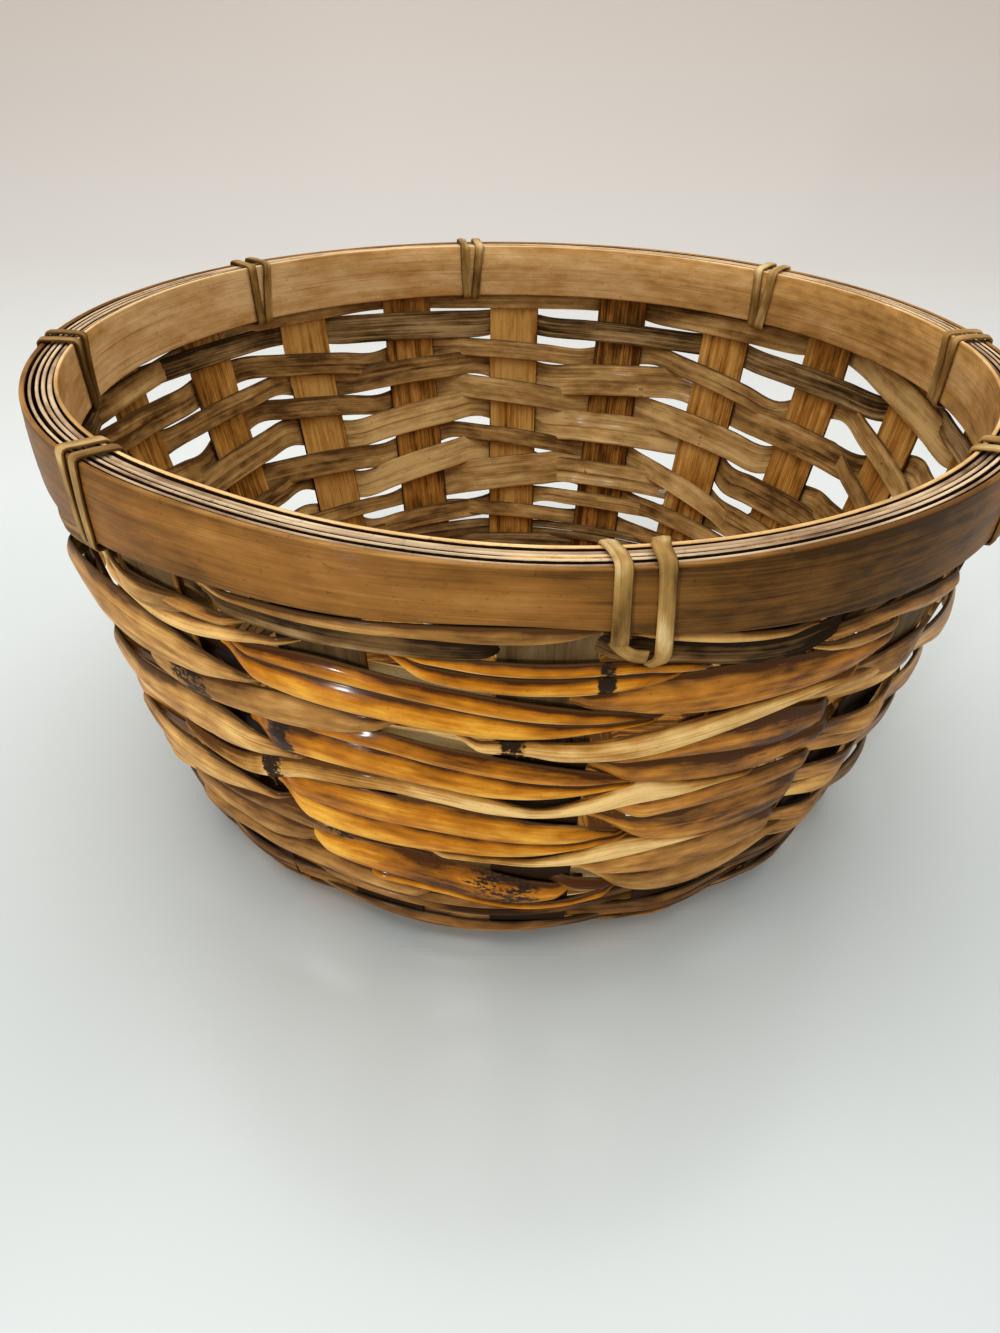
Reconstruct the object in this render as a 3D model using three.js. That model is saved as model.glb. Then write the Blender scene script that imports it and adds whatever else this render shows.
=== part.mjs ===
// Round woven bamboo basket with a bound rim.
// Millimetres, +Z up. The origin is the centre of the foot, on the surface the basket stands on.
// The wall's path runs down from the rim, round the heel and in along the base. A place on the basket
// is given by its distance along that path, its offset out of the wall's middle surface and its azimuth.
import * as THREE from 'three';

// Overall size
const RIM_RADIUS = 125;          // outer face of the outer hoop, at its top edge
const BASKET_HEIGHT = 127.5;     // top edge of the hoops above the foot
const FOOT_RADIUS = 86.5;        // where the flat base ends and the heel begins
const HEEL_BEND = 14;            // bend of the splints from base to wall
const WALL_BULGE = 4;            // how far the wall swells out of a straight cone

// Splints: 9 strips that cross in the base and stand up as 18 stakes
const LONG_SPLINTS = 5;          // front to back
const CROSS_SPLINTS = 4;         // side to side
const SPLINT_WIDTH = 18.6;
const SPLINT_THICKNESS = 1;
const BASE_SLOT = 3.2;           // between neighbouring splints in the crossed middle of the base
const CROSSING_ROOM = 0.4;       // a splint keeps its level this far past the edge of one it crosses
const FAN_RADIUS = 76;           // beyond it each splint points straight out from the centre
const STAKE_DROP = 1.5;          // stake ends below the rim's top edge

// Weavers
const WEAVER_THICKNESS = 1.5;
const PAIR_WIDTH = 4.8;          // each strip of a double row
const SINGLE_WIDTH = 6.6;        // the strip of a single row
const FOOT_WEAVER_WIDTH = 4.8;   // strips round the heel and the base
const ROW_SLIT = 0.5;            // between rows, and between the strips of a double row
const SECOND_SKIP = 3;           // after this stake the weave skips once more, as it does at the front

// Rim
const BAND_HEIGHT = 17.5;        // both hoops
const OUTER_HOOP_THICKNESS = 1.5;
const INNER_HOOP_THICKNESS = 1.3;
const FILLER_HEIGHT = 13;
const OUTER_FILLER_THICKNESS = 1.2;
const INNER_FILLER_THICKNESS = 2;
const FILLER_DROP = 0.4;         // filler edges below the hoops' top edges

// Lashings: each a cane strip wound twice round the rim, in an opening between two stakes
const LASHING_OPENINGS = [0, 2, 4, 6, 9, 11, 13, 15];
const LASHING_SHIFTS = [-6, 2, 6, 6, -4, -6, 6, 6];   // sideways from the middle of the opening
const LASHING_WIDTH = 3.2;
const LASHING_THICKNESS = 0.6;
const LASHING_SPACING = 6.8;     // between the middles of its two turns
const LASHING_LEAN = 2.6;        // sideways, down the first turn's inner leg

const FIT = 0.3;                 // clearance between pieces that touch
const EDGE_ROOM = 0.6;           // a weaver starts to cross the wall this far past a stake's edge

// Smoothness
const PROFILE_STEPS = 240;
const HOOP_SEGMENTS = 72;
const WALL_STATIONS = 7;
const HEEL_STATIONS = 5;
const FAN_STATIONS = 5;
const CORNER_STATIONS = 3;

const STAKE_COUNT = 2 * (LONG_SPLINTS + CROSS_SPLINTS);
const STAKE_STEP = 2 * Math.PI / STAKE_COUNT;
const FRONT = -Math.PI / 2;
const SPLINT_PITCH = SPLINT_WIDTH + BASE_SLOT;
const SEAT = SPLINT_THICKNESS / 2 + FIT + WEAVER_THICKNESS / 2;
const BASE_LEVEL = SEAT + WEAVER_THICKNESS / 2;

const COLOURS = {
  hoop: 0x8a5a32,
  filler: 0xb49a7c,
  splint: 0xa87433,
  amber: 0xb8792c,
  pale: 0xc9a366,
  dark: 0x7c6242,
  lashing: 0xd2b67c,
};

function finish(colour, roughness) {
  return new THREE.MeshStandardMaterial({ color: colour, roughness, metalness: 0 });
}

// The wall's middle surface

const OUTER_STACK = stackOffsets(1, [OUTER_FILLER_THICKNESS, OUTER_HOOP_THICKNESS]);
const INNER_STACK = stackOffsets(-1, [INNER_FILLER_THICKNESS, INNER_HOOP_THICKNESS]);

// Offsets of the layers that lie against a stake, from the stake outwards on the given side.
// A flat stake's outer corners stand further out than its middle, by its sagitta.
function stackOffsets(side, thicknesses) {
  const sagitta = side > 0 ? SPLINT_WIDTH ** 2 / (8 * RIM_RADIUS) : 0;
  let reach = SPLINT_THICKNESS / 2 + sagitta;
  return thicknesses.map((thickness) => {
    const near = reach + FIT;
    reach = near + thickness;
    return { near: side * near, far: side * reach };
  });
}

const RIM_MIDDLE_RADIUS = RIM_RADIUS - OUTER_STACK[1].far;

// The lean of the wall's foot from upright. It is the slope of the straight line from the rim to the
// heel, and the heel's own end moves a little with it, so it is settled in a few rounds.
function footLean() {
  let lean = 0;
  for (let round = 0; round < 30; round++) {
    const drop = BASKET_HEIGHT - heelTop(lean).z;
    lean = Math.atan((RIM_MIDDLE_RADIUS - heelTop(lean).r) / drop);
  }
  return lean;
}

function heelTop(lean) {
  return {
    r: FOOT_RADIUS + HEEL_BEND * Math.cos(lean),
    z: BASE_LEVEL + HEEL_BEND * (1 - Math.sin(lean)),
  };
}

// Wall, heel and base as a fine line of (radius, height) points with their distance along the line.
function wallLine() {
  const lean = footLean();
  const heel = heelTop(lean);
  const line = [];
  for (let k = 0; k <= PROFILE_STEPS; k++) {
    const share = k / PROFILE_STEPS;
    // This swell is fullest a third of the way down and dies out smoothly at the heel.
    const swell = WALL_BULGE * (27 / 4) * share * (1 - share) ** 2;
    line.push({
      r: THREE.MathUtils.lerp(RIM_MIDDLE_RADIUS, heel.r, share) + swell,
      z: THREE.MathUtils.lerp(BASKET_HEIGHT, heel.z, share),
    });
  }
  for (let k = 1; k <= PROFILE_STEPS; k++) {
    const angle = THREE.MathUtils.lerp(lean, Math.PI / 2, k / PROFILE_STEPS);
    line.push({
      r: FOOT_RADIUS + HEEL_BEND * Math.cos(angle),
      z: BASE_LEVEL + HEEL_BEND * (1 - Math.sin(angle)),
    });
  }
  line.push({ r: 0, z: BASE_LEVEL });
  let along = 0;
  line.forEach((point, k) => {
    if (k > 0) along += Math.hypot(point.r - line[k - 1].r, point.z - line[k - 1].z);
    point.along = along;
  });
  return line;
}

const WALL_LINE = wallLine();
const HEEL_START = WALL_LINE[PROFILE_STEPS].along;
const FLAT_START = WALL_LINE[2 * PROFILE_STEPS].along;
const WALL_END = WALL_LINE[WALL_LINE.length - 1].along;

// Above the rim the line runs straight on.
function onLine(along) {
  const wanted = Math.min(along, WALL_END);
  let low = 0;
  let high = WALL_LINE.length - 1;
  while (high - low > 1) {
    const middle = (low + high) >> 1;
    if (WALL_LINE[middle].along <= wanted) low = middle;
    else high = middle;
  }
  const a = WALL_LINE[low];
  const b = WALL_LINE[high];
  const share = (wanted - a.along) / (b.along - a.along);
  return { r: THREE.MathUtils.lerp(a.r, b.r, share), z: THREE.MathUtils.lerp(a.z, b.z, share) };
}

// Radius and height of a place offset out of the middle surface.
function offWall(along, offset) {
  const reach = 0.5;
  const before = onLine(along - reach);
  const after = onLine(along + reach);
  const length = Math.hypot(after.r - before.r, after.z - before.z);
  const place = onLine(along);
  return {
    r: place.r - offset * (after.z - before.z) / length,
    z: place.z + offset * (after.r - before.r) / length,
  };
}

function onWall(along, offset, azimuth, sideways = 0) {
  const { r, z } = offWall(along, offset);
  return new THREE.Vector3(
    r * Math.cos(azimuth) - sideways * Math.sin(azimuth),
    r * Math.sin(azimuth) + sideways * Math.cos(azimuth),
    z,
  );
}

// A closed body through a row of like outlines. A ring joins its last outline to its first, and a
// strip has an end face on both.
function sweep(outlines, ring) {
  const sides = outlines[0].length;
  const positions = outlines.flatMap((outline) => outline.flatMap((point) => point.toArray()));
  const faces = [];
  const last = ring ? outlines.length : outlines.length - 1;
  for (let k = 0; k < last; k++) {
    const here = k * sides;
    const next = ((k + 1) % outlines.length) * sides;
    for (let s = 0; s < sides; s++) {
      const t = (s + 1) % sides;
      faces.push(here + s, next + s, here + t, next + s, next + t, here + t);
    }
  }
  if (!ring) {
    const end = (outlines.length - 1) * sides;
    for (let s = 1; s < sides - 1; s++) {
      faces.push(0, s, s + 1);
      faces.push(end, end + s + 1, end + s);
    }
  }
  const geometry = new THREE.BufferGeometry();
  geometry.setAttribute('position', new THREE.Float32BufferAttribute(positions, 3));
  geometry.setIndex(signedVolume(positions, faces) > 0 ? faces : faces.reverse());
  geometry.computeVertexNormals();
  return geometry;
}

function signedVolume(positions, faces) {
  const corner = (k) => new THREE.Vector3().fromArray(positions, 3 * faces[k]);
  let volume = 0;
  for (let k = 0; k < faces.length; k += 3) {
    volume += corner(k).dot(corner(k + 1).cross(corner(k + 2))) / 6;
  }
  return volume;
}

// A flat strip's outline at one station: its middle, the way its width runs and the way out of it.
function stripOutline(middle, across, out, width, thickness) {
  const place = (a, o) => middle.clone()
    .addScaledVector(across, a * width / 2)
    .addScaledVector(out, o * thickness / 2);
  return [place(-1, -1), place(1, -1), place(1, 1), place(-1, 1)];
}

const basket = new THREE.Group();

function addPiece(name, geometry, material) {
  const piece = new THREE.Mesh(geometry, material);
  piece.name = name;
  basket.add(piece);
}

// Splints

const UP = new THREE.Vector3(0, 0, 1);
const LIFT = SPLINT_THICKNESS / 2 + FIT / 2;

// Outlines from the stake's top down the wall, round the heel and straight in to the fan radius.
function stakeOutlines(azimuth) {
  const across = new THREE.Vector3(-Math.sin(azimuth), Math.cos(azimuth), 0);
  const fanStart = FLAT_START + FOOT_RADIUS - FAN_RADIUS;
  const stations = [];
  for (let k = 0; k <= WALL_STATIONS; k++) {
    stations.push(THREE.MathUtils.lerp(STAKE_DROP, HEEL_START, k / WALL_STATIONS));
  }
  for (let k = 1; k <= HEEL_STATIONS; k++) {
    stations.push(THREE.MathUtils.lerp(HEEL_START, FLAT_START, k / HEEL_STATIONS));
  }
  stations.push(fanStart);
  return stations.map((along) => {
    const middle = onWall(along, 0, azimuth);
    const out = onWall(along, 1, azimuth).sub(middle);
    return stripOutline(middle, across, out, SPLINT_WIDTH, SPLINT_THICKNESS);
  });
}

// Outlines that swing from the radial stake to the splint's straight run across the base.
function fanOutlines(azimuth, entry, heading) {
  const start = onWall(FLAT_START + FOOT_RADIUS - FAN_RADIUS, 0, azimuth);
  const inward = new THREE.Vector3(-Math.cos(azimuth), -Math.sin(azimuth), 0);
  const handle = start.distanceTo(entry) / 3;
  const bend = new THREE.CubicBezierCurve3(
    start,
    start.clone().addScaledVector(inward, handle),
    entry.clone().addScaledVector(heading, -handle),
    entry,
  );
  const outlines = [];
  for (let k = 1; k <= FAN_STATIONS; k++) {
    const share = k / FAN_STATIONS;
    const across = bend.getTangent(share).cross(UP);
    const out = UP.clone().negate();
    outlines.push(stripOutline(bend.getPoint(share), across, out, SPLINT_WIDTH, SPLINT_THICKNESS));
  }
  return outlines;
}

// Outlines across the crossed middle: over one splint of the other set, under the next.
function crossingOutlines(heading, sideways, crossings, firstLevel) {
  const side = new THREE.Vector3().crossVectors(UP, heading);
  const out = UP.clone().negate();
  const flatHalf = SPLINT_WIDTH / 2 + CROSSING_ROOM;
  const outlines = [];
  for (let k = 0; k < crossings; k++) {
    const middle = (k - (crossings - 1) / 2) * SPLINT_PITCH;
    const level = BASE_LEVEL + firstLevel * (k % 2 === 0 ? 1 : -1) * LIFT;
    for (const end of [-1, 1]) {
      const point = heading.clone().multiplyScalar(middle + end * flatHalf);
      point.addScaledVector(side, sideways);
      point.z = level;
      outlines.push(stripOutline(point, side.clone().negate(), out, SPLINT_WIDTH, SPLINT_THICKNESS));
    }
  }
  return outlines;
}

// One splint, from the top of one stake to the top of the stake across from it.
function splint(startAzimuth, endAzimuth, heading, sideways, crossings, firstLevel) {
  const side = new THREE.Vector3().crossVectors(UP, heading);
  const reach = crossings / 2 * SPLINT_PITCH + BASE_SLOT;
  const entry = (sign) => {
    const point = heading.clone().multiplyScalar(sign * reach).addScaledVector(side, sideways);
    point.z = BASE_LEVEL;
    return point;
  };
  const backwards = heading.clone().negate();
  const farHalf = [...stakeOutlines(endAzimuth), ...fanOutlines(endAzimuth, entry(1), backwards)];
  return sweep([
    ...stakeOutlines(startAzimuth),
    ...fanOutlines(startAzimuth, entry(-1), heading),
    ...crossingOutlines(heading, sideways, crossings, firstLevel),
    ...farHalf.reverse().map(([a, b, c, d]) => [b, a, d, c]),
  ], false);
}

function addSplints(material) {
  const backward = new THREE.Vector3(0, 1, 0);
  for (let k = 0; k < LONG_SPLINTS; k++) {
    const place = k - (LONG_SPLINTS - 1) / 2;
    const startAzimuth = FRONT + place * STAKE_STEP;
    const level = k % 2 === 0 ? 1 : -1;
    const body = splint(startAzimuth, -startAzimuth, backward, -place * SPLINT_PITCH, CROSS_SPLINTS, level);
    addPiece(`long_splint_${k + 1}`, body, material);
  }
  const rightward = new THREE.Vector3(1, 0, 0);
  for (let k = 0; k < CROSS_SPLINTS; k++) {
    const place = k - (CROSS_SPLINTS - 1) / 2;
    const endAzimuth = place * STAKE_STEP;
    const level = k % 2 === 0 ? -1 : 1;
    const body = splint(Math.PI - endAzimuth, endAzimuth, rightward, place * SPLINT_PITCH, LONG_SPLINTS, level);
    addPiece(`cross_splint_${k + 1}`, body, material);
  }
}

// Weavers

// Outside (1) or inside (-1) of each stake. The strip changes side at each stake, but passes two
// neighbouring stakes on one side at the front and once more at the right.
function weaverSide(row, stake) {
  const skip = stake > SECOND_SKIP ? 1 : 0;
  return (row + stake + skip) % 2 === 0 ? 1 : -1;
}

function bendRadius(along) {
  return along > HEEL_START && along < FLAT_START ? HEEL_BEND : Infinity;
}

function weaver(row, start, width) {
  const outlineAt = (azimuth, offset, stretch) => {
    const corner = (edge, face) => {
      const point = onWall(start + edge * width, offset + face * WEAVER_THICKNESS / 2, azimuth);
      point.x *= stretch;
      point.y *= stretch;
      return point;
    };
    return [corner(0, -1), corner(1, -1), corner(1, 1), corner(0, 1)];
  };
  const middle = start + width / 2;
  const radius = onLine(middle).r;
  const halfAngle = Math.atan((SPLINT_WIDTH / 2 + EDGE_ROOM) / radius);
  const standOff = width ** 2 / (8 * bendRadius(middle));
  const offsets = [];
  for (let k = 0; k < STAKE_COUNT; k++) {
    offsets.push(weaverSide(row, k) > 0 ? SEAT + standOff : -SEAT);
  }
  const outlines = [];
  for (let k = 0; k < STAKE_COUNT; k++) {
    const azimuth = FRONT + k * STAKE_STEP;
    const next = offsets[(k + 1) % STAKE_COUNT];
    // Over the stake the strip runs straight, level with the stake's flat face.
    const stretch = 1 / Math.cos(halfAngle);
    outlines.push(outlineAt(azimuth - halfAngle, offsets[k], stretch));
    outlines.push(outlineAt(azimuth + halfAngle, offsets[k], stretch));
    outlines.push(outlineAt(azimuth + STAKE_STEP / 2, (offsets[k] + next) / 2, 1));
  }
  return sweep(outlines, true);
}

function addWeavers(amber, pale, dark) {
  let start = BAND_HEIGHT + 2 * FIT + LASHING_THICKNESS;
  let row = 0;
  const rowName = () => `weaver_row_${String(row + 1).padStart(2, '0')}`;
  const pairReach = 2 * PAIR_WIDTH + ROW_SLIT;
  while (start + (row % 2 === 0 ? pairReach : SINGLE_WIDTH) < HEEL_START) {
    if (row % 2 === 0) {
      addPiece(`${rowName()}_upper`, weaver(row, start, PAIR_WIDTH), amber);
      addPiece(`${rowName()}_lower`, weaver(row, start + PAIR_WIDTH + ROW_SLIT, PAIR_WIDTH), amber);
      start += pairReach + ROW_SLIT;
    } else {
      addPiece(rowName(), weaver(row, start, SINGLE_WIDTH), pale);
      start += SINGLE_WIDTH + ROW_SLIT;
    }
    row += 1;
  }
  const footEnd = FLAT_START + FOOT_RADIUS - FAN_RADIUS;
  let footRow = 1;
  while (start + FOOT_WEAVER_WIDTH < footEnd) {
    addPiece(`foot_weaver_${footRow}`, weaver(row, start, FOOT_WEAVER_WIDTH), dark);
    start += FOOT_WEAVER_WIDTH + ROW_SLIT;
    row += 1;
    footRow += 1;
  }
}

// Rim

function hoop(top, bottom, layer) {
  const corners = [[top, layer.near], [bottom, layer.near], [bottom, layer.far], [top, layer.far]];
  const profile = corners.map(([along, offset]) => {
    const { r, z } = offWall(along, offset);
    return new THREE.Vector2(r, z);
  });
  profile.push(profile[0].clone());
  const outside = layer.far > layer.near;
  const geometry = new THREE.LatheGeometry(outside ? profile : profile.reverse(), HOOP_SEGMENTS);
  return geometry.rotateX(Math.PI / 2);
}

function addRim(hoopFinish, fillerFinish) {
  addPiece('outer_rim_hoop', hoop(0, BAND_HEIGHT, OUTER_STACK[1]), hoopFinish);
  addPiece('outer_rim_filler', hoop(FILLER_DROP, FILLER_DROP + FILLER_HEIGHT, OUTER_STACK[0]), fillerFinish);
  addPiece('inner_rim_filler', hoop(FILLER_DROP, FILLER_DROP + FILLER_HEIGHT, INNER_STACK[0]), fillerFinish);
  addPiece('inner_rim_hoop', hoop(0, BAND_HEIGHT, INNER_STACK[1]), hoopFinish);
}

// Lashings

// The strip's way round the rim, seen along the rim: places as (along, offset) with the way out of it.
// It starts tucked under the outer hoop, goes up, over and down inside, crosses under the rim and goes
// round once more to end under the inner hoop. Sideways it moves over by one spacing down the first
// turn's inner leg and in that crossing.
function lashingStations() {
  const outer = OUTER_STACK[1].far;
  const inner = INNER_STACK[1].far;
  const low = BAND_HEIGHT;
  const corners = {
    outerLow: { along: low, offset: outer, from: Math.PI / 2 },
    outerHigh: { along: 0, offset: outer, from: 0 },
    innerHigh: { along: 0, offset: inner, from: -Math.PI / 2 },
    innerLow: { along: low, offset: inner, from: -Math.PI },
  };
  // The angle of the way out is 0 straight out of the wall and -90 degrees straight up.
  const turn = ({ along, offset, from }, sideways) => {
    const stations = [];
    for (let k = 0; k < CORNER_STATIONS; k++) {
      const angle = from - Math.PI / 2 * k / (CORNER_STATIONS - 1);
      stations.push({ along, offset, angle, sideways });
    }
    return stations;
  };
  const left = -LASHING_SPACING / 2;
  const right = LASHING_SPACING / 2;
  const tuck = LASHING_WIDTH / 2;
  const under = Math.PI / 2;
  return [
    { along: low, offset: outer - tuck, angle: under, sideways: left },
    ...turn(corners.outerLow, left),
    ...turn(corners.outerHigh, left),
    ...turn(corners.innerHigh, left),
    ...turn(corners.innerLow, left + LASHING_LEAN),
    ...turn(corners.outerLow, right),
    ...turn(corners.outerHigh, right),
    ...turn(corners.innerHigh, right),
    ...turn(corners.innerLow, right),
    { along: low, offset: inner + tuck, angle: under, sideways: right },
  ];
}

function lashing(azimuth, shift) {
  const outlines = lashingStations().map(({ along, offset, angle, sideways }) => {
    const move = (distance, aside) => onWall(
      along + distance * Math.sin(angle),
      offset + distance * Math.cos(angle),
      azimuth + (shift + sideways) / RIM_RADIUS,
      aside,
    );
    const near = FIT;
    const far = FIT + LASHING_THICKNESS;
    const half = LASHING_WIDTH / 2;
    return [move(near, -half), move(near, half), move(far, half), move(far, -half)];
  });
  return sweep(outlines, false);
}

function addLashings(material) {
  LASHING_OPENINGS.forEach((opening, k) => {
    const azimuth = FRONT + (opening + 0.5) * STAKE_STEP;
    addPiece(`lashing_${k + 1}`, lashing(azimuth, LASHING_SHIFTS[k]), material);
  });
}

addSplints(finish(COLOURS.splint, 0.6));
addWeavers(finish(COLOURS.amber, 0.35), finish(COLOURS.pale, 0.5), finish(COLOURS.dark, 0.6));
addRim(finish(COLOURS.hoop, 0.4), finish(COLOURS.filler, 0.7));
addLashings(finish(COLOURS.lashing, 0.5));

export default basket;
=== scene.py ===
# %% [markdown]
# # A woven bamboo storage basket
#
# The basket is round and open. Nine flat splints cross in its base and stand up as eighteen stakes.
# Split strips are woven round the stakes, and the rim is a sandwich of hoops and filler strips that
# eight cane lashings hold together. This lesson builds each strip as a thin swept body and gives it a
# bamboo finish made of shader nodes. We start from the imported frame, because it fixes every size.

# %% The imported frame
import math

import bpy
import numpy as np
from mathutils import Matrix, Vector


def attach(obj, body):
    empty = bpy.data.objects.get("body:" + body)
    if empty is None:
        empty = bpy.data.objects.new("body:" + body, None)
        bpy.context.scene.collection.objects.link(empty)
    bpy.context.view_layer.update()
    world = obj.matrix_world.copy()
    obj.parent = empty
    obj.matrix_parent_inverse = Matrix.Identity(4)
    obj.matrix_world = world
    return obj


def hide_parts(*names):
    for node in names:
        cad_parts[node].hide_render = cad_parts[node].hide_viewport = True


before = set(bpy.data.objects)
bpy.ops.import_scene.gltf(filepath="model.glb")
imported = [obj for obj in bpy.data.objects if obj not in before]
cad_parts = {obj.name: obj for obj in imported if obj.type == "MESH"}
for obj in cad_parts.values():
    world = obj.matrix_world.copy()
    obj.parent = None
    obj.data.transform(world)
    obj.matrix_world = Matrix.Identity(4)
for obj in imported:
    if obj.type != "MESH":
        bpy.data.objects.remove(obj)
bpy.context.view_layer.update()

BODY = "root"
MM = 0.001

# %% [markdown]
# ## The camera
#
# The photograph was taken with a wide phone lens, close to the rim and looking down into the basket.
# A focal length in picture points and a sensor height give Blender's lens. The camera's place could be
# set by eye, but here it comes from the rim's ellipse: its distance, its height over the rim plane,
# how far it looks down and the small roll of the picture.

# %% The camera
PHOTO_HEIGHT = 1333
FOCAL_POINTS = 924
SENSOR_HEIGHT = 36
CAMERA_PLACE = Vector((-0.0112, -0.2533, 0.1981))
LOOK_ASIDE = 0.0218
LOOK_DOWN = 0.616
CAMERA_ROLL = 0.018


def camera_turn():
    level = Vector((math.sin(LOOK_ASIDE), math.cos(LOOK_ASIDE), 0))
    ahead = level * math.cos(LOOK_DOWN) - Vector((0, 0, math.sin(LOOK_DOWN)))
    right = ahead.cross(Vector((0, 0, 1))).normalized()
    up = right.cross(ahead)
    rolled_right = right * math.cos(CAMERA_ROLL) + up * math.sin(CAMERA_ROLL)
    rolled_up = up * math.cos(CAMERA_ROLL) - right * math.sin(CAMERA_ROLL)
    return Matrix((rolled_right, rolled_up, -ahead)).transposed()


camera_data = bpy.data.cameras.new("camera")
camera_data.sensor_fit = "VERTICAL"
camera_data.sensor_height = SENSOR_HEIGHT
camera_data.lens = SENSOR_HEIGHT * FOCAL_POINTS / PHOTO_HEIGHT
camera_data.clip_start = 0.01
camera = bpy.data.objects.new("camera", camera_data)
camera.matrix_world = Matrix.Translation(CAMERA_PLACE) @ camera_turn().to_4x4()
bpy.context.scene.collection.objects.link(camera)
bpy.context.scene.camera = camera
print("lens:", round(camera_data.lens, 2), "mm")

# %% [markdown]
# ## The wall's line
#
# Every strip of a basket follows its wall. So the wall's middle surface comes first: a line of radius
# and height that runs down from the rim, round the heel and in along the base. Low down the wall is a
# few millimetres fuller at two sides, as hand work is. A place on the basket is then given by its
# distance along that line, its offset out of the wall and its azimuth. All of these are in
# millimetres, as a basket maker would measure, and meshes turn them into metres.

# %% The wall's line
RIM_RADIUS = 125
OUTER_REACH = 4.146
BASKET_HEIGHT = 127.5
FOOT_RADIUS = 86.5
HEEL_BEND = 14
WALL_BULGE, BULGE_SCALE = 4, 27 / 4
BASE_LEVEL = 2.3
ABOVE_RIM = 20
LINE_STEPS, LEAN_ROUNDS = 240, 30
SLOPE_REACH = 0.5


def heel_top(lean):
    radius = FOOT_RADIUS + HEEL_BEND * math.cos(lean)
    return radius, BASE_LEVEL + HEEL_BEND * (1 - math.sin(lean))


def wall_line(steps):
    """Rows of distance, radius and height. The bulge's scale is one over the top of its curve."""
    top = RIM_RADIUS - OUTER_REACH
    lean = 0
    for _ in range(LEAN_ROUNDS):
        radius, height = heel_top(lean)
        lean = math.atan((top - radius) / (BASKET_HEIGHT - height))
    heel_radius, heel_height = heel_top(lean)
    share = np.linspace(0, 1, steps + 1)
    wall_r = top + (heel_radius - top) * share + WALL_BULGE * BULGE_SCALE * share * (1 - share) ** 2
    wall_z = BASKET_HEIGHT + (heel_height - BASKET_HEIGHT) * share
    angle = np.linspace(lean, math.pi / 2, steps + 1)[1:]
    heel_r = FOOT_RADIUS + HEEL_BEND * np.cos(angle)
    heel_z = BASE_LEVEL + HEEL_BEND * (1 - np.sin(angle))
    r = np.concatenate([wall_r, heel_r, [0]])
    z = np.concatenate([wall_z, heel_z, [BASE_LEVEL]])
    along = np.concatenate([[0], np.cumsum(np.hypot(np.diff(r), np.diff(z)))])
    rise = ABOVE_RIM / along[1]
    above = (-ABOVE_RIM, r[0] - (r[1] - r[0]) * rise, z[0] - (z[1] - z[0]) * rise)
    line = [np.concatenate([[extra], values]) for extra, values in zip(above, (along, r, z))]
    return line, along[steps], along[2 * steps]


(LINE_ALONG, LINE_R, LINE_Z), HEEL_START, FLAT_START = wall_line(LINE_STEPS)
FULLER_SIDES = ((-155, 5.0), (-25, 2.5))
FULLER_SPREAD = math.radians(34)
FULLER_DEPTHS = (55, 104, FLAT_START, FLAT_START + 60)


def wall_radius(along, azimuth):
    """A hand-made wall isn't quite round: low down it is a little fuller at two sides."""
    fuller = 0
    for place, most in FULLER_SIDES:
        away = (azimuth - math.radians(place) + math.pi) % (2 * math.pi) - math.pi
        fuller = fuller + most * np.exp(-(away / FULLER_SPREAD) ** 2)
    return np.interp(along, LINE_ALONG, LINE_R) + fuller * np.interp(along, FULLER_DEPTHS, (0, 1, 1, 0))


def wall_height(along):
    return np.interp(along, LINE_ALONG, LINE_Z)


def on_wall(along, offset, azimuth):
    """Points on the wall, with the unit vectors down along it and out of it."""
    along, offset, azimuth = np.broadcast_arrays(along, offset, azimuth)
    r, z = wall_radius(along, azimuth), wall_height(along)
    before, after = along - SLOPE_REACH, along + SLOPE_REACH
    dr = wall_radius(after, azimuth) - wall_radius(before, azimuth)
    dz = wall_height(after) - wall_height(before)
    length = np.hypot(dr, dz)
    dr, dz = dr / length, dz / length
    cos, sin = np.cos(azimuth), np.sin(azimuth)
    down = np.stack([dr * cos, dr * sin, dz], -1)
    out = np.stack([-dz * cos, -dz * sin, dr], -1)
    middle = np.stack([r * cos, r * sin, z], -1)
    return middle + out * offset[..., None], down, out


print("wall height along the line:", round(HEEL_START, 1), "heel ends at:", round(FLAT_START, 1))

# %% [markdown]
# ## One tool for every strip
#
# Hoops, weavers, stakes and lashings are all split bamboo: long, thin and flat, with a rounded edge and
# fine flutes where the fibres run. A curve with a bevel profile would make such a body, but it gives no
# say over twist, crown and fibre relief. So one function sweeps a section through a row of stations
# with numpy, and stores on each point what the finish needs: the distance along the strip and across
# it, which face it lies on, how light the piece is, painted shade included, and how dark its stains and
# its painted shade are. The section comes first, with rounded edges, and a smooth random line that keeps
# edges and colours from being too even.

# %% A strip's section
EDGE_STEPS = 3
EDGE_BEND, MOST_BEND = 0.46, 0.6
WANDER_FALL, WANDER_SIZE = 0.6, 1.6


def section(count, thickness):
    """The loop of a strip's section: place across (-1 to 1), edge rounding, height, and face."""
    bend = min(EDGE_BEND * thickness, MOST_BEND)
    half = thickness / 2
    across = np.linspace(-1, 1, count)
    turn = np.linspace(0, math.pi / 2, EDGE_STEPS + 1)[1:]
    round_x = bend * np.sin(turn)
    round_y = half - bend + bend * np.cos(turn)
    flat, edge = np.zeros(count), np.ones(2 * EDGE_STEPS)
    s = np.concatenate([across, edge, across[::-1], -edge])
    x = np.concatenate([flat, round_x, round_x[::-1], flat, -round_x, -round_x[::-1]])
    y = np.concatenate([flat + half, round_y, -round_y[::-1], flat - half, -round_y, round_y[::-1]])
    face = np.concatenate([flat + 1, 0 * edge, flat - 1, 0 * edge])
    return s, x, y, face, bend


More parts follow.
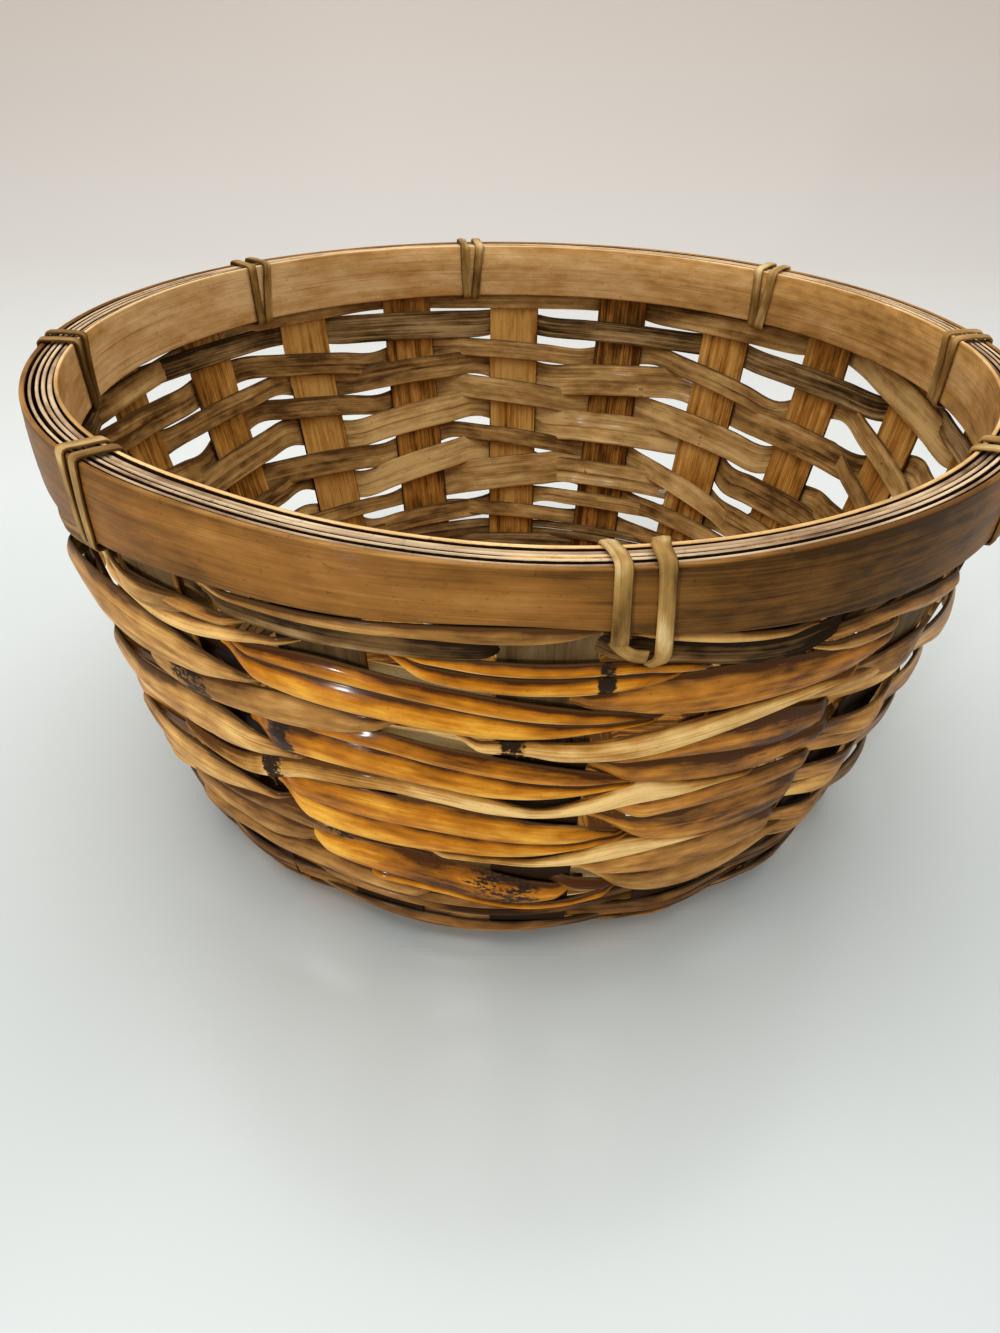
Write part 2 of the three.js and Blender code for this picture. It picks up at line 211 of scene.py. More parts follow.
def wander(places, rng, waves=(2, 3, 5, 8, 13)):
    """A smooth random line through places that run from 0 to 1, alike at both ends. About -1 to 1."""
    line = np.zeros_like(places, dtype=float)
    for wave in waves:
        line += rng.normal() * np.sin(2 * math.pi * (wave * places + rng.random())) / wave ** WANDER_FALL
    return line / WANDER_SIZE


print("sides of a strip's section:", len(section(9, 1.1)[0]))

# %% [markdown]
# The sweep sets that section at each station of the strip, across its width and along its normal. The
# front bulges by the crown and the back follows a part of it, and shallow flutes run the whole length.
# Edges get a tone of their own, because a cut edge shows bare fibres. By default one edge, the upper one
# on a weaver, is also painted darker, and the face shades off near both edges: painted shade where the
# strip above overlaps. The place across a strip is shifted by a random length, so that no two strips
# show the same piece of the noise.

# %% The strip sweep
BACK_CROWN = 0.4
FLUTE_WANDER = 0.4
OPEN_FLUTES, RING_FLUTES = (0.7, 1.6, 3.1, 6.2), (1, 2, 4, 7)
GRAIN_SHIFT = 500
# Painted shade by default: one edge is darker, and the face darkens near both edges.
EDGE_TONES = (-0.3, 0.0)
EDGE_SHADE, EDGE_FROM = (0.1, 0.03), 0.6


def sweep_strip(middles, across, normals, width, thickness, rng, crown=0, relief=0, count=9,
                closed=False, tone=0.5, lighter_below=0, soot=0, back_soot=None, edge_soot=None,
                edge_tones=EDGE_TONES, edge_shade=EDGE_SHADE, skin=1):
    """Points, faces and finish values of one strip. Lengths are in millimetres."""
    stations = len(middles)
    s, x, y, face, bend = section(count, thickness)
    sides = len(s)
    width, crown, tone = (np.broadcast_to(value, stations)[:, None] for value in (width, crown, tone))
    aside = s * (width / 2 - bend) + x
    crown_share = BACK_CROWN + (1 - BACK_CROWN) * (y / thickness + 0.5)
    height = y + crown * crown_share * (0.5 - s ** 2)
    steps = np.linalg.norm(np.diff(middles, axis=0), axis=1)
    travel = np.concatenate([[0], np.cumsum(steps)])
    if relief:
        share = travel / (travel[-1] + (steps[0] if closed else 0))
        waves = RING_FLUTES if closed else OPEN_FLUTES
        flutes = [wander(share, rng, waves) * FLUTE_WANDER + rng.normal() * (1 - FLUTE_WANDER)
                  for _ in range(count)]
        flutes = relief * np.stack(flutes, 1)
        height[:, :count] += flutes
        back = count + 2 * EDGE_STEPS
        height[:, back:back + count] += flutes[:, ::-1]
    points = middles[:, None] + across[:, None] * aside[..., None] + normals[:, None] * height[..., None]
    last = stations if closed else stations - 1
    here = np.arange(last)[:, None] * sides
    after = ((np.arange(last) + 1) % stations)[:, None] * sides
    side = np.arange(sides)
    beside = (side + 1) % sides
    quads = np.stack([here + side, after + side, after + beside, here + beside], -1).reshape(-1, 4)
    far_end = (stations - 1) * sides
    ends = [] if closed else [list(range(sides))[::-1], list(range(far_end, far_end + sides))]
    grain_x, grain_y = travel, np.zeros(stations)
    if closed:
        ring = (travel[-1] + steps[0]) / (2 * math.pi)
        grain_x, grain_y = ring * np.cos(travel / ring), ring * np.sin(travel / ring)
    edge = np.where(face == 0, np.where(s < 0, *edge_tones), 0)
    near_edge = np.clip((np.abs(s) - EDGE_FROM) / (1 - EDGE_FROM), 0, 1)
    # lighter_below, the edge tones and the edge shade are painted shade across the strip, darker towards
    # one edge.
    shade = tone + (lighter_below * s + (edge - near_edge * np.where(s < 0, *edge_shade)))
    # The stored dark value holds real stains and also painted shade, for the front, back and edge faces.
    front, back, rims = (np.broadcast_to(soot if own is None else own, stations)[:, None]
                         for own in (soot, back_soot, edge_soot))
    dirt_and_shade = np.where(face > 0, front, np.where(face < 0, back, rims))
    grain_z = aside + rng.random() * GRAIN_SHIFT
    grain = np.stack(np.broadcast_arrays(grain_x[:, None], grain_y[:, None], grain_z), -1)
    values = {"grain": grain.reshape(-1, 3), "skin": np.tile(face * skin, stations),
              "tone": shade.reshape(-1), "soot": dirt_and_shade.reshape(-1)}
    return {"points": points.reshape(-1, 3), "quads": quads, "ends": ends, "values": values}


print("grain shift of a strip: up to", GRAIN_SHIFT, "mm")

# %% [markdown]
# A piece is one Blender object of one or more strips. Joining them by a modifier would work too, but
# plain lists of points and faces are quick and keep each strip a closed body. The piece rides on the
# basket's one body and stands for the frame's nodes that it replaces.

# %% One piece
SHARP_ANGLE = math.radians(50)
STORED = {"grain": "FLOAT_VECTOR", "skin": "FLOAT", "tone": "FLOAT", "soot": "FLOAT"}


def volume_sign(points, quads):
    a, b, c, d = (points[quads[:, k]] for k in range(4))
    return np.sign(np.einsum("ij,ij->i", a, np.cross(b, c)).sum()
                   + np.einsum("ij,ij->i", a, np.cross(c, d)).sum())


def make_piece(name, strips, finish, nodes=()):
    """One Blender object from several swept strips. It rides on the basket and stands for CAD nodes."""
    points, faces, offset = [], [], 0
    for strip in strips:
        quads, ends = strip["quads"], strip["ends"]
        if volume_sign(strip["points"], quads) < 0:
            quads, ends = quads[:, ::-1], [end[::-1] for end in ends]
        faces += (quads + offset).tolist() + [[k + offset for k in end] for end in ends]
        points.append(strip["points"])
        offset += len(strip["points"])
    mesh = bpy.data.meshes.new(name)
    mesh.from_pydata((np.concatenate(points) * MM).tolist(), [], faces)
    for key, kind in STORED.items():
        layer = mesh.attributes.new(key, kind, "POINT")
        data = np.concatenate([strip["values"][key] for strip in strips]).astype(np.float32).ravel()
        layer.data.foreach_set("vector" if kind == "FLOAT_VECTOR" else "value", data)
    mesh.polygons.foreach_set("use_smooth", [True] * len(mesh.polygons))
    mesh.set_sharp_from_angle(angle=SHARP_ANGLE)
    mesh.materials.append(FINISHES[finish])
    piece = bpy.data.objects.new(name, mesh)
    bpy.context.scene.collection.objects.link(piece)
    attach(piece, BODY)
    if nodes:
        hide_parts(*nodes)


print("values stored on each point:", ", ".join(STORED))

# %% [markdown]
# ## The bamboo finish
#
# Split bamboo has two faces. The skin side is dense and glossy, and this basket's skin side is stained
# amber and varnished. The pith side is dull, with long fibres that took the stain unevenly. One shader
# can do both: the stored face value picks between two colour ramps, long thin noise along the strip
# makes the fibres, and broad noise makes the uneven stain. The stored dark value darkens nodes and
# stains and also paints shade behind the weave, in the rim's gaps and on the dark runs, and a finer
# noise scatters dark dots.

# %% The bamboo finish


def linear(red, green, blue):
    """A colour as a picture shows it, from 0 to 255, turned into light values."""
    shares = [value / 255 for value in (red, green, blue)]
    return [s / 12.92 if s <= 0.04045 else ((s + 0.055) / 1.055) ** 2.4 for s in shares] + [1]


class Wiring:
    """Short words for adding and joining shader nodes."""

    def __init__(self, name):
        self.material = bpy.data.materials.new(name)
        self.material.use_nodes = True
        self.tree = self.material.node_tree
        self.tree.nodes.clear()

    def add(self, kind, inputs, **settings):
        """A new node. inputs gives each socket a value, or joins it where the value is an output."""
        node = self.tree.nodes.new(kind)
        for key, value in settings.items():
            setattr(node, key, value)
        for key, value in inputs.items():
            if isinstance(value, bpy.types.NodeSocket):
                self.tree.links.new(value, node.inputs[key])
            else:
                node.inputs[key].default_value = value
        return node

    def stored(self, name, kind="Fac"):
        return self.add("ShaderNodeAttribute", {}, attribute_name=name).outputs[kind]

    def math(self, operation, first, second, clamp=False):
        node = self.add("ShaderNodeMath", {0: first, 1: second}, operation=operation, use_clamp=clamp)
        return node.outputs[0]

    def plus(self, first, second, clamp=False):
        return self.math("ADD", first, second, clamp)

    def times(self, first, second, clamp=False):
        return self.math("MULTIPLY", first, second, clamp)

    def centred(self, value, strength):
        """Noise values moved to lie about zero, times a strength."""
        return self.times(self.math("SUBTRACT", value, 0.5), strength)

    def above(self, value, edge, slope):
        """Nothing below the edge, then a steep rise to one."""
        return self.times(self.math("SUBTRACT", value, edge), slope, clamp=True)

    def noise(self, vector, along, across, detail=2, rough=0.5):
        """Noise in the strip's own lengths, with a grain of so many millimetres each way."""
        grains = (1 / along, 1 / along, 1 / across)
        scale = self.add("ShaderNodeVectorMath", {0: vector, 1: grains}, operation="MULTIPLY")
        inputs = {"Vector": scale.outputs[0], "Scale": 1, "Detail": detail, "Roughness": rough}
        return self.add("ShaderNodeTexNoise", inputs, noise_dimensions="3D").outputs["Fac"]

    def ramp(self, factor, stops):
        node = self.add("ShaderNodeValToRGB", {"Fac": factor})
        elements = node.color_ramp.elements
        while len(elements) < len(stops):
            elements.new(0.5)
        for element, (place, colour) in zip(elements, stops):
            element.position = place
            element.color = linear(*colour)
        return node.outputs["Color"]

    def mix(self, factor, first, second):
        return self.add("ShaderNodeMix", {0: factor, 6: first, 7: second}, data_type="RGBA").outputs[2]

    def finished(self, inputs):
        """Ends the tree in a shader with these inputs."""
        shader = self.add("ShaderNodeBsdfPrincipled", inputs)
        self.add("ShaderNodeOutputMaterial", {"Surface": shader.outputs[0]})
        return self.material


print("light value of mid grey:", round(linear(128, 128, 128)[0], 3))

# %% [markdown]
# Each noise below has a length along the strip and a width across it, in millimetres, as they were seen
# on the basket: hair-thin fibres and streaks, broader strands, stains as long as a finger joint, blotches
# as big as a grain of rice and small dots.
# Stains, blotches and fibres move a place's tone up or down a ramp of three colours. Dots, scratches,
# soot and painted shade lie over the colour where their noise passes an edge.

# %% Fibres, stains and dots
# The dark colour of soot and dots, also used for painted shade in gaps and behind the weave.
SOOT_AND_SHADE = (42, 27, 14)
FIBRE, STRAND, STREAK = (30, 0.45), (60, 1.5), (45, 0.3)
STAIN, BLOTCH, DOT = (26, 7), (6, 2.2), (1.3, 0.8)
RAMP_STOPS = (0.05, 0.5, 0.95)
STAIN_STRENGTH, BLOTCH_STRENGTH, PITH_FIBRE = 1.5, 0.7, 2.2
DOT_EDGE, SCRATCH_EDGE, DOT_SLOPE, DOT_STRENGTH = 0.63, 0.62, 7, 0.45
SOOT_AND_SHADE_EDGE, SOOT_AND_SHADE_SLOPE = 1.2, 6
DOT_SOOT, BLOTCH_SOOT, STORED_SOOT_AND_SHADE = 0.8, 0.9, 0.6
GLOSS_WANDER = 0.25
BLOTCH_RELIEF, RELIEF_DEPTH = 0.5, 0.0004


def bamboo(name, skin_colours, pith_colours, skin_rough=0.3, pith_rough=0.62, coat=0.0, fibre=0.35,
           stain=1.0, bump=0.25):
    """A finish with a dark, a middle and a light colour for each face."""
    w = Wiring(name)
    grain = w.stored("grain", "Vector")
    fibres = w.noise(grain, *FIBRE, 3, 0.6)
    strands = w.noise(grain, *STRAND)
    stains = w.noise(grain, *STAIN, 3)
    blotches = w.noise(grain, *BLOTCH, 3)
    specks = w.noise(grain, *DOT)
    streaks = w.noise(grain, *STREAK, 1)
    level = w.plus(w.stored("tone"), w.centred(stains, stain * STAIN_STRENGTH))
    level = w.plus(level, w.centred(blotches, stain * BLOTCH_STRENGTH))
    lines = w.plus(w.centred(fibres, 1.0), w.centred(strands, 1.0))
    skin_level = w.plus(level, w.times(lines, fibre), clamp=True)
    pith_level = w.plus(level, w.times(lines, fibre * PITH_FIBRE), clamp=True)
    skin_colour = w.ramp(skin_level, list(zip(RAMP_STOPS, skin_colours)))
    pith_colour = w.ramp(pith_level, list(zip(RAMP_STOPS, pith_colours)))
    face = w.times(w.stored("skin"), 1.0, clamp=True)
    colour = w.mix(face, pith_colour, skin_colour)
    spots = w.times(w.above(specks, DOT_EDGE, DOT_SLOPE), DOT_STRENGTH)
    scratches = w.times(w.above(streaks, SCRATCH_EDGE, DOT_SLOPE), DOT_STRENGTH)
    colour = w.mix(w.math("MAXIMUM", spots, scratches), colour, linear(*SOOT_AND_SHADE))
    patches = w.plus(w.times(specks, DOT_SOOT), w.times(blotches, BLOTCH_SOOT))
    # The stored value adds real stains and painted shade to the dark patches.
    patches = w.plus(patches, w.times(w.stored("soot"), STORED_SOOT_AND_SHADE))
    colour = w.mix(w.above(patches, SOOT_AND_SHADE_EDGE, SOOT_AND_SHADE_SLOPE), colour, linear(*SOOT_AND_SHADE))
    rough = w.add("ShaderNodeMapRange", {"Value": face, "To Min": pith_rough, "To Max": skin_rough})
    bumps = w.plus(fibres, w.times(blotches, BLOTCH_RELIEF))
    relief = w.add("ShaderNodeBump", {"Strength": bump, "Distance": RELIEF_DEPTH, "Height": bumps})
    return w.finished({
        "Base Color": colour,
        "Specular IOR Level": 0.05,
        "Roughness": w.plus(rough.outputs[0], w.centred(stains, GLOSS_WANDER)),
        "Coat Weight": coat,
        "Coat Roughness": 0.12,
        "Normal": relief.outputs[0],
    })


print("grains, in millimetres:", FIBRE, STRAND, STAIN, BLOTCH, DOT, STREAK)

# %% [markdown]
# The basket has eleven finishes. Each has its three colours on the skin side, then on the pith side, as
# the photograph shows them from dark to light. Strips that were never varnished have no coat.

# %% The finishes
FLOAT_PITH = [(84, 56, 24), (176, 134, 76), (228, 190, 124)]
GREY_PITH = [(52, 38, 22), (126, 96, 56), (180, 148, 100)]
PALE_STRIP = [(170, 126, 64), (240, 206, 136), (255, 234, 172)]
FILLER_EDGE = [(84, 60, 42), (180, 148, 114), (232, 204, 164)]
FINISHES = {
    "amber": bamboo("amber_skin", [(72, 35, 2), (186, 112, 12), (242, 178, 60)], FLOAT_PITH, 0.34,
                    coat=0.14),
    "cream": bamboo("cream_pith", [(96, 56, 14), (178, 124, 56), (236, 196, 126)],
                    [(92, 54, 16), (182, 130, 60), (238, 198, 128)], 0.5, coat=0.03),
    "tan": bamboo("tan_strip", [(78, 46, 16), (160, 112, 54), (216, 168, 98)], FLOAT_PITH, 0.45,
                  coat=0.05),
    "grey": bamboo("grey_fibres", [(36, 24, 10), (112, 82, 46), (178, 146, 100)], GREY_PITH, 0.6,
                   fibre=0.9, bump=0.7),
    "dark": bamboo("dark_strip", [(52, 26, 4), (114, 68, 20), (170, 114, 48)], GREY_PITH, 0.42,
                   coat=0.08),
    "pale": bamboo("pale_run", PALE_STRIP, PALE_STRIP, 0.6, stain=0.4),
    # The splint's skin colours are dark partly as painted shade on the outer face behind the weave.
    "splint": bamboo("splint_bamboo", [(52, 36, 18), (80, 59, 34), (112, 88, 56)],
                     [(84, 50, 16), (178, 120, 50), (218, 166, 88)], 0.6, 0.5, fibre=0.55, bump=0.5),
    "outer hoop": bamboo("outer_hoop_skin", [(60, 38, 8), (144, 95, 40), (186, 138, 76)],
                         [(110, 70, 28), (178, 128, 66), (232, 194, 132)], 0.45, 0.5, coat=0.05,
                         stain=0.45),
    "inner hoop": bamboo("inner_hoop_skin", [(128, 88, 40), (204, 154, 88), (240, 200, 140)],
                         [(128, 88, 40), (206, 156, 90), (242, 204, 144)], 0.42, 0.5, coat=0.03,
                         stain=0.8),
    "filler": bamboo("filler_edge", FILLER_EDGE, FILLER_EDGE, 0.6),
    "cane": bamboo("lashing_cane", [(84, 56, 20), (168, 130, 70), (238, 214, 156)],
                   [(84, 56, 20), (150, 110, 56), (214, 182, 120)], 0.42, coat=0.05),
}
print("finishes:", ", ".join(FINISHES))

# %% [markdown]
# ## The splints
#
# A splint is one long strip: down one side of the basket, across the base and up the other side. The
# frame's solid has the same way with flat steps. Here its stations are set closer together, so that the
# heel is round, its edges are rounded and its faces carry fibres. The light side shows inside the
# basket. The side that faces out lies behind the weave, and between the rim and the heel it is painted
# dark: painted shade from the strips in front of it. The base gets little light, so both its sides are
# painted a shade darker.

# %% The splints
LONG_SPLINTS, CROSS_SPLINTS = 5, 4
SPLINT_WIDTH, SPLINT_THICKNESS, SPLINT_GAP = 18.6, 1, 3.2
SPLINT_PITCH = SPLINT_WIDTH + SPLINT_GAP
SPLINT_LIFT = 0.65
CROSSING_ROOM = 0.4
FAN_RADIUS = 76
STAKE_DROP = 1.5
STAKE_COUNT = 2 * (LONG_SPLINTS + CROSS_SPLINTS)
STAKE_STEP = 2 * math.pi / STAKE_COUNT
FRONT = -math.pi / 2
WALL_STATIONS, HEEL_STATIONS, FAN_STATIONS = 45, 12, 14
SPLINT_WAVER, SPLINT_SPREAD, SPLINT_WANDER = 0.25, 0.14, 0.1
# Painted shade: the outer face darkens behind the weave by depth below the rim, and the base is a shade
# darker on both sides.
BEHIND_WEAVE_DEPTHS = (18, 36, 60, 80, 112, 122)
PAINTED_SHADE_OUTSIDE = (0, 0.3, 1.5, 1.8, 1.8, 0)
BASE_SHADE_FROM, BASE_SHADE = (96, 124), 0.3


def unit_rows(vectors):
    return vectors / np.linalg.norm(vectors, axis=1)[:, None]


def bezier(start, start_pull, end_pull, end, shares):
    t = np.asarray(shares)[:, None]
    return ((1 - t) ** 3 * start + 3 * (1 - t) ** 2 * t * start_pull
            + 3 * (1 - t) * t ** 2 * end_pull + t ** 3 * end)


def half_splint(azimuth, entry, heading):
    """Middles and outward directions from the stake's top to the edge of the crossed middle."""
    depths = np.concatenate([np.linspace(STAKE_DROP, HEEL_START, WALL_STATIONS),
                             np.linspace(HEEL_START, FLAT_START, HEEL_STATIONS)[1:],
                             [FLAT_START + FOOT_RADIUS - FAN_RADIUS]])
    middles, _, out = on_wall(depths, 0, azimuth)
    start = middles[-1]
    inward = -np.array([math.cos(azimuth), math.sin(azimuth), 0])
    pull = np.linalg.norm(start - entry) / 3
    shares = np.linspace(0, 1, FAN_STATIONS)[1:]
    fan = bezier(start, start + inward * pull, entry - heading * pull, entry, shares)
    down = np.tile([0.0, 0.0, -1.0], (len(fan), 1))
    return np.concatenate([middles, fan]), np.concatenate([out, down])


def splint(start_azimuth, end_azimuth, heading, sideways, crossings, first_level, rng):
    heading = np.array(heading, float)
    side = np.cross([0, 0, 1], heading)
    reach = crossings / 2 * SPLINT_PITCH + SPLINT_GAP
    entries = [heading * sign * reach + side * sideways + [0, 0, BASE_LEVEL] for sign in (-1, 1)]
    near, near_out = half_splint(start_azimuth, entries[0], heading)
    far, far_out = half_splint(end_azimuth, entries[1], -heading)
    flat_half = SPLINT_WIDTH / 2 + CROSSING_ROOM
    middle = []
    for k in range(crossings):
        place = (k - (crossings - 1) / 2) * SPLINT_PITCH
        level = BASE_LEVEL + first_level * (1 if k % 2 == 0 else -1) * SPLINT_LIFT
        for end in (-1, -0.4, 0.4, 1):
            middle.append(heading * (place + end * flat_half) + side * sideways + [0, 0, level])
    down = np.tile([0.0, 0.0, -1.0], (len(middle), 1))
    middles = np.concatenate([near, middle, far[::-1]])
    out = np.concatenate([near_out, down, far_out[::-1]])
    forward = np.gradient(middles, axis=0)
    across = unit_rows(np.cross(forward, out))
    normals = unit_rows(np.cross(across, forward))
    share = np.linspace(0, 1, len(middles))
    width = SPLINT_WIDTH + SPLINT_WAVER * wander(share, rng)
    tone = 0.5 + SPLINT_SPREAD * rng.normal() + SPLINT_WANDER * wander(share, rng)
    down_wall = BASKET_HEIGHT - middles[:, 2]
    # Painted shade: the base darker, and the outer face dark behind the weave.
    tone = tone - np.interp(down_wall, BASE_SHADE_FROM, (0, BASE_SHADE))
    return sweep_strip(middles, across, normals, width, SPLINT_THICKNESS, rng, crown=0.12, relief=0.05,
                       count=17, tone=tone, soot=np.interp(down_wall, BEHIND_WEAVE_DEPTHS, PAINTED_SHADE_OUTSIDE),
                       back_soot=0)


def make_splints(kind, count, crossings, heading, first_seed, first_level):
    """One set of splints. The long ones start at the front, the cross ones at the left."""
    for k in range(count):
        place = k - (count - 1) / 2
        level = first_level if k % 2 == 0 else -first_level
        if kind == "long":
            start, end, sideways = FRONT + place * STAKE_STEP, -(FRONT + place * STAKE_STEP), -place
        else:
            start, end, sideways = math.pi - place * STAKE_STEP, place * STAKE_STEP, place
        strip = splint(start, end, heading, sideways * SPLINT_PITCH, crossings, level,
                       np.random.default_rng(first_seed + k))
        name = f"{kind}_splint"
        make_piece(f"{name}_strip_{k + 1}", [strip], "splint", [f"{name}_{k + 1}"])
    print(kind, "splints:", count)


make_splints("long", LONG_SPLINTS, CROSS_SPLINTS, (0, 1, 0), 100, 1)
make_splints("cross", CROSS_SPLINTS, LONG_SPLINTS, (1, 0, 0), 120, -1)

# %% [markdown]
# ## How a weaver moves
#
# A weaver passes outside one stake and inside the next. Simulating that would be slow and hard to steer.
# Instead each strip has stops along its way, with its depth below the rim, its width, how far out it
# lies, its roll, its crown and its tone. A smooth curve joins the stops, and a little seeded noise keeps
# two strips from looking alike. Places along the strip are counted in knots, two to a stake: even knots
# are stakes, odd knots are the gaps between them, and knot 0 is the front.

# %% Rows and sides
KNOTS = 2 * STAKE_COUNT
STATIONS_PER_KNOT = 10
SECOND_SKIP = 3
WALL_ROWS = [23.0, 32.2, 41.4, 50.3, 59.4, 68.2, 76.9, 85.7, 94.5, 103.2]
FOOT_WEAVERS, FOOT_FIRST, FOOT_PITCH = 7, 109.6, 5.3
ROW_CENTRES = WALL_ROWS + [FOOT_FIRST + k * FOOT_PITCH for k in range(FOOT_WEAVERS)]


def smooth_line(knots, values, places):
    """A smooth open curve through values at uneven knots."""
    knots, values = np.asarray(knots, float), np.asarray(values, float)
    slopes = np.gradient(values, knots)
    k = np.clip(np.searchsorted(knots, places) - 1, 0, len(knots) - 2)
    span = knots[k + 1] - knots[k]
    t = np.clip((places - knots[k]) / span, 0, 1)
    start = (1 + 2 * t) * (1 - t) ** 2 * values[k] + t * (1 - t) ** 2 * span * slopes[k]
    return start + t ** 2 * (3 - 2 * t) * values[k + 1] + t ** 2 * (t - 1) * span * slopes[k + 1]


def weave_sides(row, skips=True):
    """Outside (1) or inside (-1) of each stake, as the frame's weavers go."""
    shift = [1 if (k > SECOND_SKIP or not skips) else 0 for k in range(STAKE_COUNT)]
    return [1 if (row + k + shift[k]) % 2 == 0 else -1 for k in range(STAKE_COUNT)]


print("row 1 passes outside of stakes:", [k for k, side in enumerate(weave_sides(0)) if side > 0])

# %% [markdown]
# Inside the basket each weaver shows as a broad plank where it passes over a stake. These floats slant
# and differ in colour, which gives the inside its lively look. So the ones that the photograph shows are
# written down: how deep each lies, how far it drops from its left end to its right end as seen from
# inside, how wide it is and how light.

# %% The floats inside the basket
INSIDE_FLOATS = {
    0: {12: (24, 1, 7, 0.3), 10: (28, 1.5, 10, 0.6), 8: (30, 0, 7.5, 0.35), 6: (31.3, 0, 8, 0.5)},
    1: {13: (33.5, 3, 8, 0.25), 11: (36.5, 6, 7, 0.3), 9: (38.5, 3, 6, 0.45), 7: (41, 7, 6.5, 0.45),
        5: (43, 10, 6.5, 0.55)},
    2: {12: (42.5, -2, 6.5, 0.4), 10: (44.5, -2, 8, 0.35), 8: (47.5, -3.3, 10.5, 0.6),
        6: (51.5, 0.5, 9, 0.45)},
    3: {13: (54, 5, 9, 0.25), 11: (52, 6, 7.5, 0.3), 9: (54.5, 5, 9, 0.5), 7: (60.5, 4.5, 10.5, 0.65),
        5: (58, 12, 6, 0.35)},
    4: {12: (61, -4, 9, 0.35), 10: (62, -5, 9.5, 0.7), 8: (66.3, -0.5, 10.5, 0.8), 6: (75, 1, 9.5, 0.3)},
    5: {11: (73, 3.5, 9, 0.3), 9: (72, 5, 6.5, 0.25), 7: (83.5, 9.5, 8, 0.7)},
    6: {12: (79, -4, 7, 0.3), 10: (80.5, -7, 9.5, 0.85), 8: (84.5, 0, 9, 0.6), 6: (88, 2, 8, 0.5)},
    7: {11: (93, 1, 6, 0.45), 9: (86, -4, 13, 0.55), 7: (96, 4, 7, 0.4)},
    8: {12: (90, 0, 7, 0.4), 10: (102, -2, 7, 0.5), 8: (95.5, 0, 5.5, 0.6)},
    9: {11: (105, 0, 6, 0.4), 9: (102, 3, 6, 0.5), 7: (106, 2, 6, 0.5)},
}
TOP_FLOATS = {13: (23, 0, 7, 0.3), 11: (19.5, 0, 4.5, 0.5), 9: (20, 0, 6, 0.55), 7: (21.8, 0, 7.5, 0.5),
              5: (24, 7, 10, 0.65)}
print("floats written down:", sum(len(row) for row in INSIDE_FLOATS.values()) + len(TOP_FLOATS))

# %% [markdown]
# A strip that bends at every stake in one smooth wave would look like a rope. Split bamboo is stiff, so
# inside a stake it is a straight plank with a stop at the stake, at both its edges and at both ends of
# the float. Outside a stake it has one stop, at the mean depth of the planks on both sides of it, so it
# runs straight on from one to the other. At the sides a few outside passes stand off like ears.

# %% How a weaver moves
OUT_REACH, IN_REACH = 2.8, 1.9
STAKE_EDGE, EDGE_HOLD = 0.65, 0.75
FLOAT_REACH, FLOAT_LEVEL = 1.3, 0.9
EAR_STAKES, EAR_HEIGHT, FIRST_EAR_ROW = (2, 3, 15, 16), 1.0, 3
SLANT_ROOM = 6
LANE_PITCH, FLOAT_LANE, FLOAT_LANE_WIDTH = 0.46, 0.26, 0.6
OUTSIDE_WIDTH = 1.3
OUT_CROWN, IN_CROWN = 0.5, -0.15
OUT_TURN, TURN_SPREAD, IN_TURN = 6, 4, -0.3
DEPTH_SPREAD, WIDTH_SPREAD, TONE_SPREAD, OUT_SPREAD = 0.5, 0.05, 0.12, 0.06
STRIP_THICKNESS = 1.0
FLOOR_CLEARANCE = 0.35


def plank_end(stake, step, floats, lane, level):
    """How deep a plank inside a stake ends, or level where none is written down."""
    if stake % STAKE_COUNT not in floats:
        return level
    depth, drop, wide, _ = floats[stake % STAKE_COUNT]
    return depth + lane * FLOAT_LANE * wide - step * 0.5 * drop


def weaver_stops(row, lane, width, rng, sides, floats, calm, reach, tone):
    """Stops along the strip: knot, depth, width, offset, roll, crown and tone.

    Inside a stake the strip is a straight plank, so it has stops at both sides of the stake too.
    """
    stops = []
    on_the_wall = row < len(WALL_ROWS)
    for stake, side in enumerate(sides):
        here = 2.0 * stake
        depth = ROW_CENTRES[row] + lane * LANE_PITCH * width + DEPTH_SPREAD * calm * rng.normal()
        widen = OUTSIDE_WIDTH if side > 0 and on_the_wall else 1.0
        wide = width * widen * (1 + WIDTH_SPREAD * rng.normal())
        shade = tone + TONE_SPREAD * rng.normal()
        out = side * (OUT_REACH if side > 0 else IN_REACH) * reach * (1 + OUT_SPREAD * rng.normal())
        if side > 0 and stake in EAR_STAKES and on_the_wall and row >= FIRST_EAR_ROW:
            out += EAR_HEIGHT
        turn = math.radians(OUT_TURN + TURN_SPREAD * rng.normal())
        if side > 0:
            ends = [plank_end(stake + way, -way * FLOAT_REACH, floats, lane, depth) for way in (-1, 1)]
            depth += min(max(sum(ends) / 2 - depth, -SLANT_ROOM), SLANT_ROOM)
            stops.append((here, depth, wide, out, turn, OUT_CROWN, shade))
            continue
        drop = 0
        if stake in floats:
            depth, drop, wide, shade = floats[stake]
            depth += lane * FLOAT_LANE * wide
            wide *= FLOAT_LANE_WIDTH if lane else 1
        levels = {-FLOAT_REACH: FLOAT_LEVEL * reach, -STAKE_EDGE: EDGE_HOLD * out, 0: out,
                  STAKE_EDGE: EDGE_HOLD * out, FLOAT_REACH: FLOAT_LEVEL * reach}
        for step, level in levels.items():
            beside = sides[(stake + (1 if step > 0 else -1)) % STAKE_COUNT]
            if abs(step) < FLOAT_REACH or beside > 0:
                place = depth - step * 0.5 * drop
                stops.append((here + step, place, wide, level, IN_TURN * turn, IN_CROWN, shade))
    return np.array(stops)


